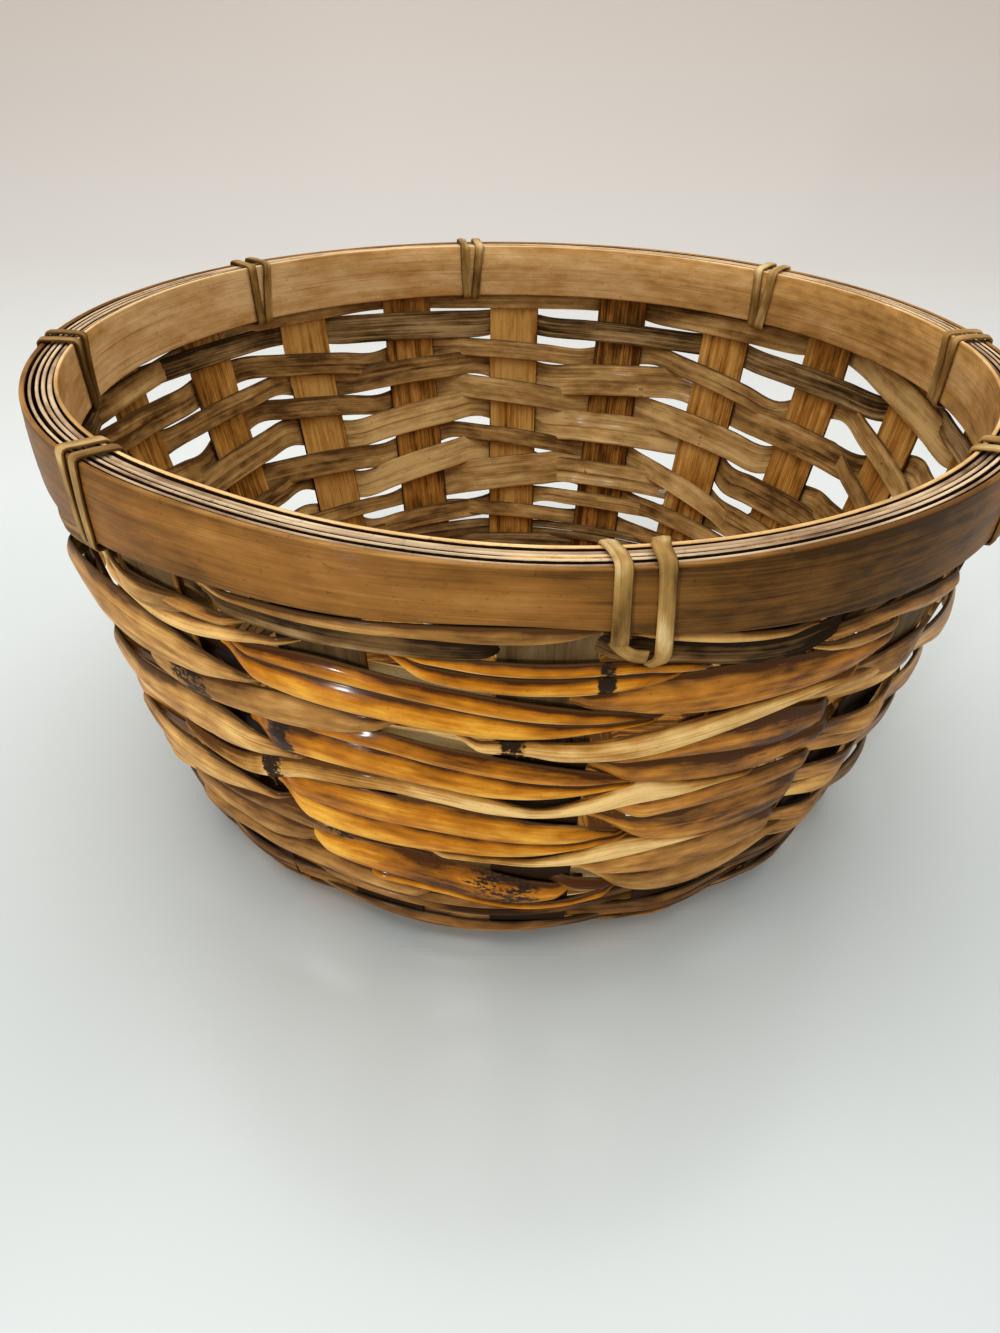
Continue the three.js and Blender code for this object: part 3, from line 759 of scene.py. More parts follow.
def held_off_floor(along, offset, azimuth, crowns):
    """The offset, kept back where the strip would go under the floor."""
    _, _, out = on_wall(along, 0, azimuth)
    room = wall_height(along) - FLOOR_CLEARANCE - STRIP_THICKNESS / 2 - np.abs(crowns) / 2
    return np.minimum(offset, room / np.maximum(-out[:, 2], 0.05))


def stain_marks(places, marks):
    """How dark the nodes make a strip. marks holds (knot, strength, half length in knots)."""
    soot = np.zeros(len(places))
    for mark, strength, half in marks:
        away = np.abs((places - mark + KNOTS / 2) % KNOTS - KNOTS / 2)
        soot = np.maximum(soot, strength * np.exp(-(away / half) ** 4))
    return soot


def lay_strip(places, along, offset, turn, width, crowns, rng, **looks):
    """Sweeps one strip along the wall, rolled by turn about its own length."""
    azimuth = FRONT + places * STAKE_STEP / 2
    offset = held_off_floor(along, offset, azimuth, crowns)
    middles, down, out = on_wall(along, offset, azimuth)
    cos, sin = np.cos(turn)[:, None], np.sin(turn)[:, None]
    return sweep_strip(middles, down * cos + out * sin, out * cos - down * sin, width, STRIP_THICKNESS,
                       rng, crown=crowns, **looks)


print("wall rows:", len(WALL_ROWS), "foot rows:", FOOT_WEAVERS, "thickness:", STRIP_THICKNESS)

# %% [markdown]
# A whole strip is its stops, joined and swept. Its unevenness could be drawn by hand too, but seeded
# noise is enough at the back: the depth wavers a little, the width a little more often, and a few dark
# nodes lie anywhere. A strip that starts and ends somewhere gets narrow ends, which tuck away better.

# %% One weaver
WAVER_DEPTH, WAVER_WIDTH = 0.12, 0.03
TONE_WANDER = 0.14
STRAY_NODES, STRAY_STRENGTH, STRAY_LENGTH = 3, 0.5, 0.08
END_TAPER, END_WIDTH = 0.3, 0.5


def weaver(row, lane, width, seed, span, pattern=None, flips=(), skips=True, floats=None, hand_set=None,
           relief=0.05, reach=1.0, lift=0.0, calm=1.0, tone=0.5, skin=0.5):
    """One strip round the back of the basket, between two knots, or all the way round where span is None.

    lane is -1 for the upper strip of a pair, 1 for the lower one and 0 for a single strip. flips lists
    the stakes where the strip goes to the other side. hand_set gives a knot its (depth, width).
    """
    rng = np.random.default_rng(seed)
    sides = weave_sides(row if pattern is None else pattern, skips)
    for stake in flips:
        sides[stake % STAKE_COUNT] *= -1
    floats = INSIDE_FLOATS.get(row, {}) if floats is None else floats
    stops = weaver_stops(row, lane, width, rng, sides, floats, calm, reach, tone)
    for knot, depth_and_width in (hand_set or {}).items():
        stops[np.abs(stops[:, 0] - knot) < STAKE_EDGE, 1:3] = depth_and_width
    wrap = np.array([KNOTS] + [0] * 6)
    stops = np.concatenate([stops[-4:] - wrap, stops, stops[:4] + wrap])
    start, end = span or (0, KNOTS)
    places = np.arange(start, end, 1 / STATIONS_PER_KNOT)
    share = places / KNOTS
    along, wide, offset, turn, crowns, tones = (smooth_line(stops[:, 0], stops[:, k], places)
                                                for k in range(1, 7))
    along = along + WAVER_DEPTH * calm * wander(share, rng, (5, 9, 14))
    wide = wide * (1 + WAVER_WIDTH * wander(share, rng, (9, 17, 31)))
    if span:
        from_end = np.minimum(places - start, end - places)
        wide *= END_WIDTH + (1 - END_WIDTH) * np.clip(from_end / END_TAPER, 0, 1)
    tones = tones + TONE_WANDER * wander(share, rng)
    marks = [(place, STRAY_STRENGTH, STRAY_LENGTH) for place in rng.random(STRAY_NODES) * KNOTS]
    return lay_strip(places, along, offset + lift, turn, wide, crowns, rng, relief=relief, tone=tones,
                     closed=not span, lighter_below=0.08, soot=stain_marks(places, marks), skin=skin)


print("knots per weaver:", KNOTS, "stations:", KNOTS * STATIONS_PER_KNOT)

# %% [markdown]
# At the front the strips lie in long flat arcs: each comes out beside one stake, passes over one or two
# stakes and dives in again. A regular weave would look too tidy there. So each front arc is written down
# with its upper and lower edge at a few knots, as the photograph shows them, and its two ends are tucked
# behind their neighbours. Its right end lies in the shade of the next strip, so it is darker there.

# %% An arc at the front
ARC_LEVEL, ARC_CROWN, ARC_ROLL = 2.4, 0.75, 9
# Painted shade near an arc's edges, more at the upper one; lighter_below paints the arc darker towards
# its upper edge.
ARC_SHADE = (0.32, 0.08)
END_SHADE, END_REACH = 0.35, 0.9
TUCKED = -0.9
LEAST_WIDTH = 0.7


def stepped(places, ends, steps):
    """Values on straight lines between written (knot, value) steps, or between the two ends."""
    return np.interp(places, *np.array(steps or [(places[0], ends), (places[-1], ends)], float).T)


def arc(edges, seed, tone=0.5, level=ARC_LEVEL, dives=(0.5, 0.4), tucks=(TUCKED, TUCKED), roll=ARC_ROLL,
        crown=ARC_CROWN, relief=0.05, marks=(), skin=1, tone_wander=0.1, lighter_below=0.14, tones=None,
        levels=None, soot=None, back_soot=None):
    """One strip over the front. edges holds (knot, upper edge, lower edge) in millimetres down the wall.

    level is how far out it lies, dives how many knots each end takes to go in, tucks how deep the ends
    lie. levels and tones may hold (knot, value) where a strip stands out or changes colour on its way.
    The right end is darker, because it goes under the next strip.
    """
    rng = np.random.default_rng(seed)
    knots, upper, lower = np.array(edges, float).T
    start, end = knots[0], knots[-1]
    places = np.append(np.arange(start, end, 1 / (2 * STATIONS_PER_KNOT)), end)
    share = (places - start) / KNOTS
    top, bottom = smooth_line(knots, upper, places), smooth_line(knots, lower, places)
    middle = (top + bottom) / 2 + WAVER_DEPTH * wander(share, rng, (4, 7, 12))
    offset = stepped(places, level, levels)
    for from_end, dive, tuck in zip((places - start, end - places), dives, tucks):
        ease = np.clip(from_end / dive, 0, 1)
        offset = tuck + (offset - tuck) * (ease * ease * (3 - 2 * ease))
    turn = np.radians(roll) + np.radians(2) * wander(share, rng, (3, 6, 10))
    shade = stepped(places, tone, tones) + tone_wander * wander(share, rng, (3, 7, 13, 21))
    shade -= END_SHADE * np.clip(1 - (end - places) / END_REACH, 0, 1)
    soot = stain_marks(places, marks) if soot is None else soot
    return lay_strip(places, middle, offset, turn, np.maximum(bottom - top, LEAST_WIDTH),
                     np.full(len(places), crown), rng, relief=relief, tone=shade, soot=soot,
                     lighter_below=lighter_below, back_soot=back_soot, edge_shade=ARC_SHADE, skin=skin)


def make_row(row, finish, strips):
    """A woven row: one piece of several strips, which stands for one node of the frame."""
    make_piece(f"weaver_row_{row}_strip", strips, finish, [f"weaver_row_{row}"])
    print("row", row, "strips:", len(strips))


print("front arcs lie", ARC_LEVEL, "mm out of the wall line")

# %% [markdown]
# ## The weavers
#
# The rows are read off the basket from the top down. Four rows hold two amber strips, skin side out.
# They pass over the two front stakes in one long arc and go round the back in a regular weave.

# %% The amber pairs
AMBER_BACK = (1.35, 32.7)
make_row("03_upper", "amber", [
    arc([(-3.2, 28.4, 29.6), (-2.5, 26, 29.7), (-2, 25.4, 30.1), (-1.5, 26.5, 31), (-1, 28, 32.4),
         (-0.5, 29.6, 34.2), (0, 31.5, 35.7), (0.5, 33.2, 36.3), (1, 34.4, 35.6), (1.35, 34.8, 35.4)], 31,
         tone=0.45),
    weaver(2, -1, 5.6, 131, AMBER_BACK, tone=0.45)])
make_row("03_lower", "amber", [
    arc([(-3.2, 30.2, 33), (-2.8, 30.2, 35.4), (-2.5, 30.4, 36.6), (-2, 30.8, 37.6), (-1.5, 31.6, 38.2),
         (-1, 33, 39.3), (-0.5, 34.8, 40.3), (0, 36.3, 40.2), (0.5, 36.7, 38.8), (1, 35.7, 36.6),
         (1.3, 35.2, 36)], 32, tone=0.62, lighter_below=0.18),
    weaver(2, 1, 6.0, 132, AMBER_BACK, tone=0.55)])
make_row("05_upper", "amber", [
    arc([(-2.7, 45.8, 47.2), (-2, 43.6, 47.2), (-1.5, 42.9, 48), (-1, 44.7, 50.1), (-0.5, 46.6, 52.3),
         (0, 48.9, 54.3), (0.5, 51.4, 55.3), (0.9, 53.4, 54.9), (1.25, 54, 54.8)], 33),
    weaver(4, -1, 5.6, 133, AMBER_BACK, tone=0.4)])
make_row("05_lower", "amber", [
    arc([(-3.2, 51, 56.2), (-2.85, 47.8, 56.8), (-2.5, 47.6, 56.2), (-2, 47.7, 56), (-1.5, 48.5, 56.4),
         (-1, 50.6, 57.6), (-0.5, 52.8, 59.4), (0, 54.8, 59.8), (0.5, 55.8, 58.6), (0.9, 55.3, 56.4),
         (1.25, 54.9, 55.6)], 34, tone=0.55, marks=((-2.68, 1.0, 0.18),)),
    weaver(4, 1, 6.2, 134, AMBER_BACK)])
make_row("07_upper", "amber", [
    arc([(-3.2, 69, 72.6), (-2.85, 67, 73.2), (-2.5, 65.5, 73.4), (-2, 64.5, 73.8), (-1.5, 64.9, 74),
         (-1, 65.4, 74.8), (-0.5, 67.2, 76.3), (0, 70, 77.4), (0.5, 72, 77.4), (0.9, 73.9, 75.4),
         (1.25, 74.8, 75.6)], 35),
    weaver(6, -1, 6.2, 135, AMBER_BACK, tone=0.45)])
make_row("07_lower", "amber", [
    arc([(-3.2, 73.8, 77.6), (-2.85, 73.9, 81), (-2.5, 74, 82.8), (-2, 74.4, 83.4), (-1.5, 74.7, 83.4),
         (-1, 75.4, 83), (-0.5, 76.9, 83.3), (0, 78, 82.9), (0.5, 78.1, 80.9), (0.9, 76.2, 78.2),
         (1.3, 75.9, 76.6)], 36, tone=0.58),
    weaver(6, 1, 6.2, 136, AMBER_BACK)])
make_row("09_upper", "amber", [
    arc([(-3.1, 90, 93), (-2.5, 87.3, 96.2), (-2, 85.8, 97.3), (-1.5, 86.4, 98.4), (-1, 88.8, 101),
         (-0.5, 92.6, 104), (0, 96.2, 104.8), (0.35, 97.6, 103.5), (0.7, 98.2, 101.4)], 37,
         tones=((-3, 0.7), (-2.2, 0.5), (-1.4, 0.2), (-0.6, 0.35), (0.6, 0.4)),
         marks=((-1.2, 0.5, 0.3), (-0.3, 0.78, 0.6))),
    weaver(8, -1, 6.0, 137, AMBER_BACK, tone=0.4)])
make_row("09_lower", "amber", [
    arc([(-2.4, 98.6, 102), (-1.5, 99, 102), (-1, 101.4, 103.6), (-0.5, 104.3, 106.3), (0, 105.8, 107.8),
         (0.5, 104.6, 106.6), (1, 101.2, 103.8), (1.3, 100.6, 102)], 38, tone=0.6, level=2.6),
    arc([(0.1, 95.6, 98.4), (0.5, 95, 99.2), (0.9, 96.6, 100.6), (1.3, 99, 101)], 39, tone=0.15),
    weaver(8, 1, 5.4, 138, AMBER_BACK, tone=0.4)])


# %% [markdown]
# The two top rows are thinner. A broad grey strip of torn fibres runs just under the rim, and a pair of
# thin orange strips crosses the front stake below it. A pale curled strip lies on the grey one's upper
# edge. It ends at the front stake and a second one starts behind the lashing.

# %% The top rows
PAIR_BACK = (4.6, 31.3)
make_row("01_upper", "tan", [
    arc([(-3.25, 15, 16.4), (-2.5, 14.6, 17.3), (-2, 14.6, 17.6), (-1.5, 14.2, 17.5), (-1, 13.4, 17.1),
         (-0.5, 12.9, 17.2), (0, 12.7, 16.6), (0.25, 12.8, 15.6), (0.44, 12.9, 14.2)], 41, tone=0.62,
         level=3.1, tucks=(1, 2.4), roll=-12, crown=0.5),
    arc([(0.55, 14, 15.2), (1, 14.6, 16.8), (1.5, 16.2, 18.8), (2, 17.6, 19.8), (2.4, 18.4, 19.6)], 141,
         tone=0.8, level=3.1, tucks=(2, 1.6), roll=-12, crown=0.5),
    weaver(0, 0, 4, 142, (2.8, 32.8), pattern=1, floats=TOP_FLOATS, hand_set={4: (22, 4)}, lift=0.4)])
make_row("01_lower", "grey", [
    arc([(-3.25, 16.2, 20), (-3, 16.4, 20.6), (-2.5, 16.8, 21.5), (-2, 17, 21.9), (-1.5, 17, 21.7),
         (-1, 16.8, 21.4), (-0.6, 16.8, 20.8), (-0.3, 17, 20.2)], 42, level=2.0, dives=(0.4, 0.25),
         relief=0.2, crown=0.25, tone=0.3),
    arc([(0.3, 16, 19.6), (0.7, 16.6, 20.6), (1, 17, 21.6), (1.5, 18.6, 23.8), (2, 19.6, 25.3),
         (2.3, 19.4, 25), (2.6, 18.6, 22.6), (2.85, 18.2, 20.4)], 143, level=2.3, dives=(0.25, 0.3),
         relief=0.2, crown=0.3, tone=0.28),
    weaver(0, 0, 6.4, 144, (2.75, 32.85), skips=False, relief=0.14, tone=0.45)])
make_row("02", "amber", [
    arc([(-1.5, 21.2, 22.4), (-1, 20.9, 22.8), (-0.5, 21.1, 24), (0, 21.4, 24.4), (0.43, 21.2, 24.1),
         (0.8, 21.3, 23.9), (1.1, 21.9, 24.5), (1.3, 22.2, 24.7), (1.5, 22.8, 24.6)], 43, tone=0.55,
         dives=(0.5, 0.15), marks=((0.49, 1.0, 0.09),)),
    arc([(-1.5, 21.6, 23), (-1, 23.2, 26.6), (-0.5, 24.5, 28.2), (0, 24.9, 28.7), (0.43, 24.7, 28.4),
         (0.8, 24.5, 27.4), (1.15, 24.2, 25.6), (1.4, 24.2, 25)], 44,
         marks=((0.49, 1.0, 0.09),)),
    arc([(-4.7, 21, 22.6), (-4, 21, 24.1), (-3.5, 20.7, 24.5), (-3, 21.1, 24.1), (-2.6, 22.2, 23)], 145,
         skin=0.5),
    arc([(-5, 19.5, 23), (-4.3, 22.8, 27.5), (-4, 24.5, 29.2), (-3.5, 25, 29.4), (-3, 24.2, 27.5),
         (-2.5, 23, 25), (-2, 22.6, 23.4)], 146, tone=0.75, level=2.7, skin=0.3),
    arc([(2.2, 23, 24.4), (2.7, 20.9, 24.2), (3, 20.6, 24.2), (3.5, 21, 24.6), (4, 22, 26.6),
         (4.5, 23, 28), (5, 24, 28)], 147, skin=0.5),
    arc([(2.2, 24.6, 25.6), (2.7, 24.8, 27), (3, 25, 28.3), (3.4, 25.4, 28), (3.8, 25.6, 26.6)], 148,
         tone=0.6, level=2.8, skin=0.3),
    weaver(1, -1, 4.2, 149, PAIR_BACK, flips=(2, 3)),
    weaver(1, 1, 4.6, 150, PAIR_BACK, flips=(2, 3))])

# %% [markdown]
# The rows between show as one broad arc left of the front and a pair of strips right of it. Between
# these arcs the weaver runs inside the two front stakes, and a pale patch of it shows through each gap.

# %% The rows between
BETWEEN_BACK = (3.3, 31.1)
EAR = ((-6.4, 4.6), (-5, 4.6), (-3.8, 2.6), (-2, 2.4))
make_row("04", "amber", [
    arc([(-6.4, 29, 35), (-5.5, 27.5, 36), (-5, 27, 38.5), (-4.5, 28.5, 41), (-4, 31, 41.6),
         (-3.5, 33.8, 41), (-3.1, 35.2, 39), (-2.8, 36, 37.8), (-2.5, 36.2, 37.6)], 51, tone=0.54,
         levels=EAR, skin=0.3),
    arc([(0.3, 47, 49), (1, 44.9, 48.4), (1.5, 42.6, 48.6), (2, 41.2, 49.7), (2.5, 41.8, 51),
         (2.8, 43.4, 50.4), (3.3, 45, 49.5)], 52, tone=0.14, marks=((2.6, 0.4, 0.3),), skin=0.8),
    weaver(3, 0, 8.4, 151, BETWEEN_BACK)])
make_row("06", "amber", [
    arc([(-6.4, 54, 60), (-5.5, 54, 61), (-5, 53, 62), (-4.3, 51.8, 62), (-4, 51, 62.6), (-3.5, 52.9, 63),
         (-3.13, 55.4, 62), (-2.7, 56.2, 59.6), (-2.2, 56.4, 57.6)], 53, tone=0.6, levels=EAR, skin=0.3),
    arc([(0.7, 64.6, 68), (1, 63.7, 69.4), (1.5, 62.6, 68.8), (2, 61.6, 68.3), (2.5, 61.6, 68),
         (3, 62.2, 67.8), (3.5, 63.4, 67)], 54, tone=0.36, skin=0.7),
    weaver(5, 0, 8.4, 152, BETWEEN_BACK, tone=0.45)])
make_row("08", "amber", [
    arc([(-6.4, 75, 81), (-5.5, 75, 82), (-5, 74.5, 84), (-4.5, 75, 85), (-4, 76.5, 84),
         (-3.5, 77.5, 81.4), (-3.1, 78, 79.8), (-2.8, 78.3, 79.3)], 55, tone=0.54, levels=EAR, skin=0.3),
    arc([(0.3, 88.6, 90.2), (0.7, 87, 91.6), (1, 85, 93), (1.5, 82.9, 94), (2, 82, 94), (2.5, 82.2, 93.8),
         (3, 83.6, 92.8), (3.5, 87, 92)], 56, tone=0.46, skin=0.5),
    weaver(7, 0, 8.4, 153, BETWEEN_BACK)])
make_row("10", "tan", [
    arc([(-5.5, 90, 96), (-5, 89, 97.5), (-4, 89.5, 97.2), (-3.5, 88.6, 97.6), (-3, 88.8, 94.6),
         (-2.6, 90.4, 93)], 57),
    arc([(-5.5, 99, 104), (-5, 99, 106), (-4, 98, 104), (-3.5, 98.4, 104.6), (-3, 96, 104),
         (-2.5, 97, 104.6), (-2, 99, 106), (-1.5, 101.6, 107), (-1.15, 102.6, 106.6)], 58, tone=0.46),
    arc([(0.6, 92.6, 94.6), (1, 93.7, 98), (1.25, 94.2, 101.4), (1.5, 94.7, 103.6), (2, 94.7, 104.8),
         (2.5, 94.4, 103.8), (3, 93.4, 100.6), (3.5, 92.8, 96.6), (3.9, 92.4, 94.5)], 59, tone=0.56),
    weaver(9, 0, 7.4, 154, BETWEEN_BACK)])

# %% [markdown]
# The last strips of the front are loose lengths that the maker laid in where one weaver ended and the
# next began. Cream ones start at the front stake and climb to the right. Tan ones come from the left and
# end in the gap beside it, and red ones start right of it. They are single pieces on the real basket
# too. The pale and dark runs are the parts of the rows between that run inside the two front stakes.
# The dark ones lie in shadow, so their outer face is painted dark: painted shade.

# %% Laid-in strips
# Painted shade: the dark runs' outer face is solid dark.
DARK_FACE = 1.8
RUN = {"level": -1.5, "tucks": (-1.6, -1.6), "roll": 0, "crown": 0.1}
PALE_RUN = dict(RUN, skin=-1, tone=0.95, tone_wander=0.03, lighter_below=0.0)
DARK_RUN = dict(RUN, soot=DARK_FACE, back_soot=0)


def lay_in(name, finish, strips):
    """Pieces that no node of the frame stands for, one of each strip."""
    for k, strip in enumerate(strips):
        make_piece(f"{name}_strip_{k + 1}", [strip], finish)
    print(name, "strips:", len(strips))


lay_in("cream", "cream", [
    arc([(-0.8, 42, 43.6), (-0.5, 41.3, 44.3), (-0.1, 41, 44.8), (0.1, 41.2, 46), (0.5, 41.4, 46.7),
         (1, 39.4, 45.9), (1.5, 37.3, 43.4), (2, 35.8, 40.8), (2.5, 35, 38.8), (3, 35.2, 37.6),
         (3.5, 35, 36.5)], 61, tones=((-0.8, 0.8), (1, 0.8), (2.4, 0.62), (3.5, 0.5)), level=2.9,
         tucks=(0.4, TUCKED), dives=(0.25, 0.5), marks=((-0.28, 1.0, 0.14),), skin=-1),
    arc([(-4.9, 66, 71), (-4.2, 67.4, 72.4), (-3.5, 66.5, 72.5), (-3, 61.8, 69), (-2.6, 58.6, 65),
         (-2, 56.7, 62.6), (-1.5, 56.9, 61.6), (-1, 57.9, 63), (-0.5, 60.2, 65.4), (0, 63.8, 66.8),
         (0.5, 60.4, 65.6), (1, 54.9, 62.8), (1.5, 57.4, 62.3), (2, 58.6, 61), (2.6, 58.5, 60)], 62,
         tones=((-4.5, 0.4), (-3, 0.45), (-2, 0.55), (-1, 0.75), (1.2, 0.8), (2.6, 0.55)), level=2.7,
         marks=((-2.95, 0.9, 0.2), (-3.9, 0.3, 0.4)), skin=-1),
    arc([(-1.5, 83.8, 85), (-1, 83.5, 85.6), (-0.5, 83.7, 86.1), (0, 84.8, 87.2), (0.5, 82, 86.8),
         (1, 77.8, 85), (1.5, 80, 83.8), (2, 81, 82.6), (2.5, 81, 82)], 63, tone=0.8, level=2.8,
         skin=-1)])
lay_in("tan", "tan", [
    arc([(-4.9, 42.4, 48.6), (-4.3, 42.2, 49.4), (-4, 42.2, 49.8), (-3.5, 41.6, 49), (-3, 39.8, 47.6),
         (-2.5, 38.2, 46.6), (-2, 38.4, 45), (-1.5, 38.7, 42), (-1.2, 39, 40.6)], 71,
         tones=((-4.9, 0.3), (-3.4, 0.4), (-2.6, 0.62), (-1.2, 0.6)), relief=0.16,
         marks=((-3.8, 0.92, 0.35),)),
    arc([(-4.9, 86, 90), (-4, 85.6, 89.6), (-3.5, 82.8, 88.4), (-3, 80, 87.6), (-2.5, 83, 88),
         (-2, 83.9, 87), (-1.5, 83.9, 86), (-1.2, 84, 85.4)], 72, tone=0.25, level=2.0, relief=0.14,
         marks=((-2.4, 0.7, 0.35),)),
    arc([(2.1, 37.6, 39), (2.6, 37.4, 40.4), (3, 37.8, 42), (3.5, 38, 43), (3.9, 38.6, 42.4),
         (4.4, 39.4, 41)], 73, tone=0.6, level=2.0)])
lay_in("red", "amber", [
    arc([(0.2, 28.4, 31.4), (0.5, 28, 32), (1, 25.8, 34), (1.5, 25, 35), (2, 25.4, 34.8),
         (2.5, 26.6, 34.6), (3, 27.4, 34), (3.5, 28.6, 31.5), (3.9, 29.5, 31)], 81, tone=0.3, level=2.6,
         dives=(0.2, 0.5), tucks=(1.2, TUCKED), skin=0.8),
    arc([(0.4, 50.4, 53), (1, 48.9, 55.4), (1.5, 49.2, 57), (2, 50.5, 58.2), (2.5, 51.6, 58.4),
         (3, 52, 57), (3.5, 52.6, 55.6)], 82, tone=0.2, marks=((2, 0.35, 0.9),), skin=0.8),
    arc([(0.6, 70.2, 72.2), (1, 70.3, 74.8), (1.25, 69.8, 78), (1.5, 69.4, 79.6), (2, 69, 81),
         (2.5, 68.7, 80.8), (3, 68.6, 80), (3.5, 68.8, 77)], 83, tone=0.32, skin=0.7)])
lay_in("pale_run", "pale", [
    arc([(-2.5, 26, 30.5), (-1.4, 27.6, 32.6), (-1, 28, 33.2), (-0.3, 28, 34)], 91, **PALE_RUN),
    arc([(-2.5, 43.6, 48), (-1.4, 45, 50), (-1, 45, 50.6), (-0.6, 45.4, 51), (-0.2, 45.6, 51)], 92,
         **PALE_RUN),
    arc([(-2.5, 65, 70), (-1.4, 67, 71), (-1, 67, 71.4), (-0.2, 66, 72)], 93, **PALE_RUN),
    arc([(-2.5, 90, 94), (-1.4, 91, 94.4), (-1, 91.6, 97), (-0.2, 93, 101), (0.6, 96, 103),
         (1.4, 97, 104)], 94, **PALE_RUN),
    arc([(-2.5, 110, 115), (-1.4, 111, 115.6), (-1, 111, 116), (0, 110.6, 116), (0.6, 110, 115),
         (1.4, 109.6, 114.4), (2, 109, 114)], 95, **PALE_RUN)])
lay_in("dark_run", "tan", [
    arc([(-3.7, top, top + 8), (-3, top + 0.6, top + 8.4), (-2.3, top, top + 8)], seed, **DARK_RUN)
    for seed, top in ((96, 33), (97, 54), (98, 69.5), (99, 79.5))])


# %% [markdown]
# ## The foot weavers
#
# Below the last row the wall bends into the base. Narrow strips lie close together there and hold the
# splints as they fan out. The first three are dark and the ones under the base are amber like the wall.
# They are plain weave, so the same stops make them.

# %% The foot weavers
FOOT_WIDTH, FOOT_TONES, FOOT_REACHES = 3.4, (0.5, 0.4), (0.5, 0.45)
FOOT_CALM = 0.5
FIRST_BASE_WEAVER = 3


def make_foot_weaver(k):
    strips = [weaver(len(WALL_ROWS) + k, lane, FOOT_WIDTH, 200 + 2 * k + place, None, calm=FOOT_CALM,
                     tone=FOOT_TONES[place], reach=FOOT_REACHES[place], skin=0.8)
              for place, lane in enumerate((-1, 1))]
    finish = "dark" if k < FIRST_BASE_WEAVER else "amber"
    make_piece(f"foot_weaver_strip_{k + 1}", strips, finish, [f"foot_weaver_{k + 1}"])


for number in range(FOOT_WEAVERS):
    make_foot_weaver(number)
print("foot weavers:", FOOT_WEAVERS)

# %% [markdown]
# ## The rim
#
# The rim is a sandwich that shows from above: a pale inner hoop edge, a wide greyish filler, two thin
# strips, a dark gap and the outer hoop. A lathe would give perfect rings, which look like plastic. The
# strip sweep gives the same rings with edges that waver a little and fibres that run round. The faces
# that look into the gaps between the rings are painted dark as painted shade, and the two hoops are
# painted lighter and darker round the rim as painted light and shade.

# %% The rim
BAND_HEIGHT = 17.5
HOOP_STATIONS = 360
SEAM = 160
HOOP_EDGES = [(-160, -0.2, 17.4), (-138, -0.8, 16.8), (-122, -1.2, 14.5), (-106, 0.1, 13.9),
              (-92, 1.1, 12.4), (-76, 1.1, 15.7), (-60, 0.5, 17.5), (-30, 0.0, 17.5), (30, 0.0, 17.3),
              (90, 0.1, 17.2), (150, -0.2, 17.3), (200, -0.2, 17.4)]
# Painted light and shade round the hoops, in (degrees, tone).
HOOP_LIGHT_AND_SHADE = [(-160, 0.35), (-125, 0.32), (-105, 0.44), (-92, 0.38), (-80, 0.2), (-66, 0.1), (-52, 0.24),
              (-40, 0.46), (-24, 0.68), (10, 0.5), (90, 0.5), (200, 0.35)]
INNER_LIGHT_AND_SHADE = [(-160, 0.6), (-90, 0.5), (-30, 0.5), (60, 0.54), (85, 0.68), (110, 0.7), (140, 0.74),
               (180, 0.74), (200, 0.6)]
# Edge tones: pale cut upper edges (the outer hoop's stays brown), and lower edges painted darker as
# painted shade.
OUTER_EDGES, RIM_EDGES = (-0.05, -0.4), (0.25, -0.3)
FILLER_HEIGHT, THIN_HEIGHT = 13, 1.5
RIM_RELIEF = 0.03
# Painted shade on the faces that look into the gaps between the rim's rings.
PAINTED_GAP_SHADE = 1.8


def round_from_seam(azimuth):
    """Degrees from -160 to 200, as the tables of the rim count them."""
    return (np.degrees(azimuth) + SEAM) % 360 - SEAM


def hoop_edges(azimuth):
    """Where the outer hoop's upper and lower edges run. A real hoop is neither level nor even."""
    places, upper, lower = np.array(HOOP_EDGES, float).T
    degrees = round_from_seam(azimuth)
    return smooth_line(places, upper, degrees), smooth_line(places, lower, degrees)


def rim_ring(top, bottom, offset, thickness, seed, waver=0.2, crown=0, count=15, tone=0.5, skin=1,
             tone_wander=0.12, shades=None, uneven=False, edges=RIM_EDGES, soot=0, back_soot=None):
    """One ring of the rim. shades holds (degrees, tone): painted light above 0.5, painted shade below."""
    rng = np.random.default_rng(seed)
    share = np.arange(HOOP_STATIONS) / HOOP_STATIONS
    azimuth = FRONT + share * 2 * math.pi
    edge_up, edge_down = hoop_edges(azimuth)
    upper = top + edge_up + waver * wander(share, rng, (2, 3, 5, 9))
    lower = (edge_down if uneven else bottom + edge_up) + waver * wander(share, rng, (2, 4, 7, 11))
    middles, down, out = on_wall((upper + lower) / 2, offset, azimuth)
    shade = tone + tone_wander * wander(share, rng)
    if shades:
        shade += smooth_line(*np.array(shades).T, round_from_seam(azimuth)) - 0.5
    return sweep_strip(middles, down, out, lower - upper, thickness, rng, crown=crown, count=count,
                       relief=RIM_RELIEF, closed=True, tone=shade, soot=soot, back_soot=back_soot,
                       edge_soot=0, skin=skin, edge_tones=edges)


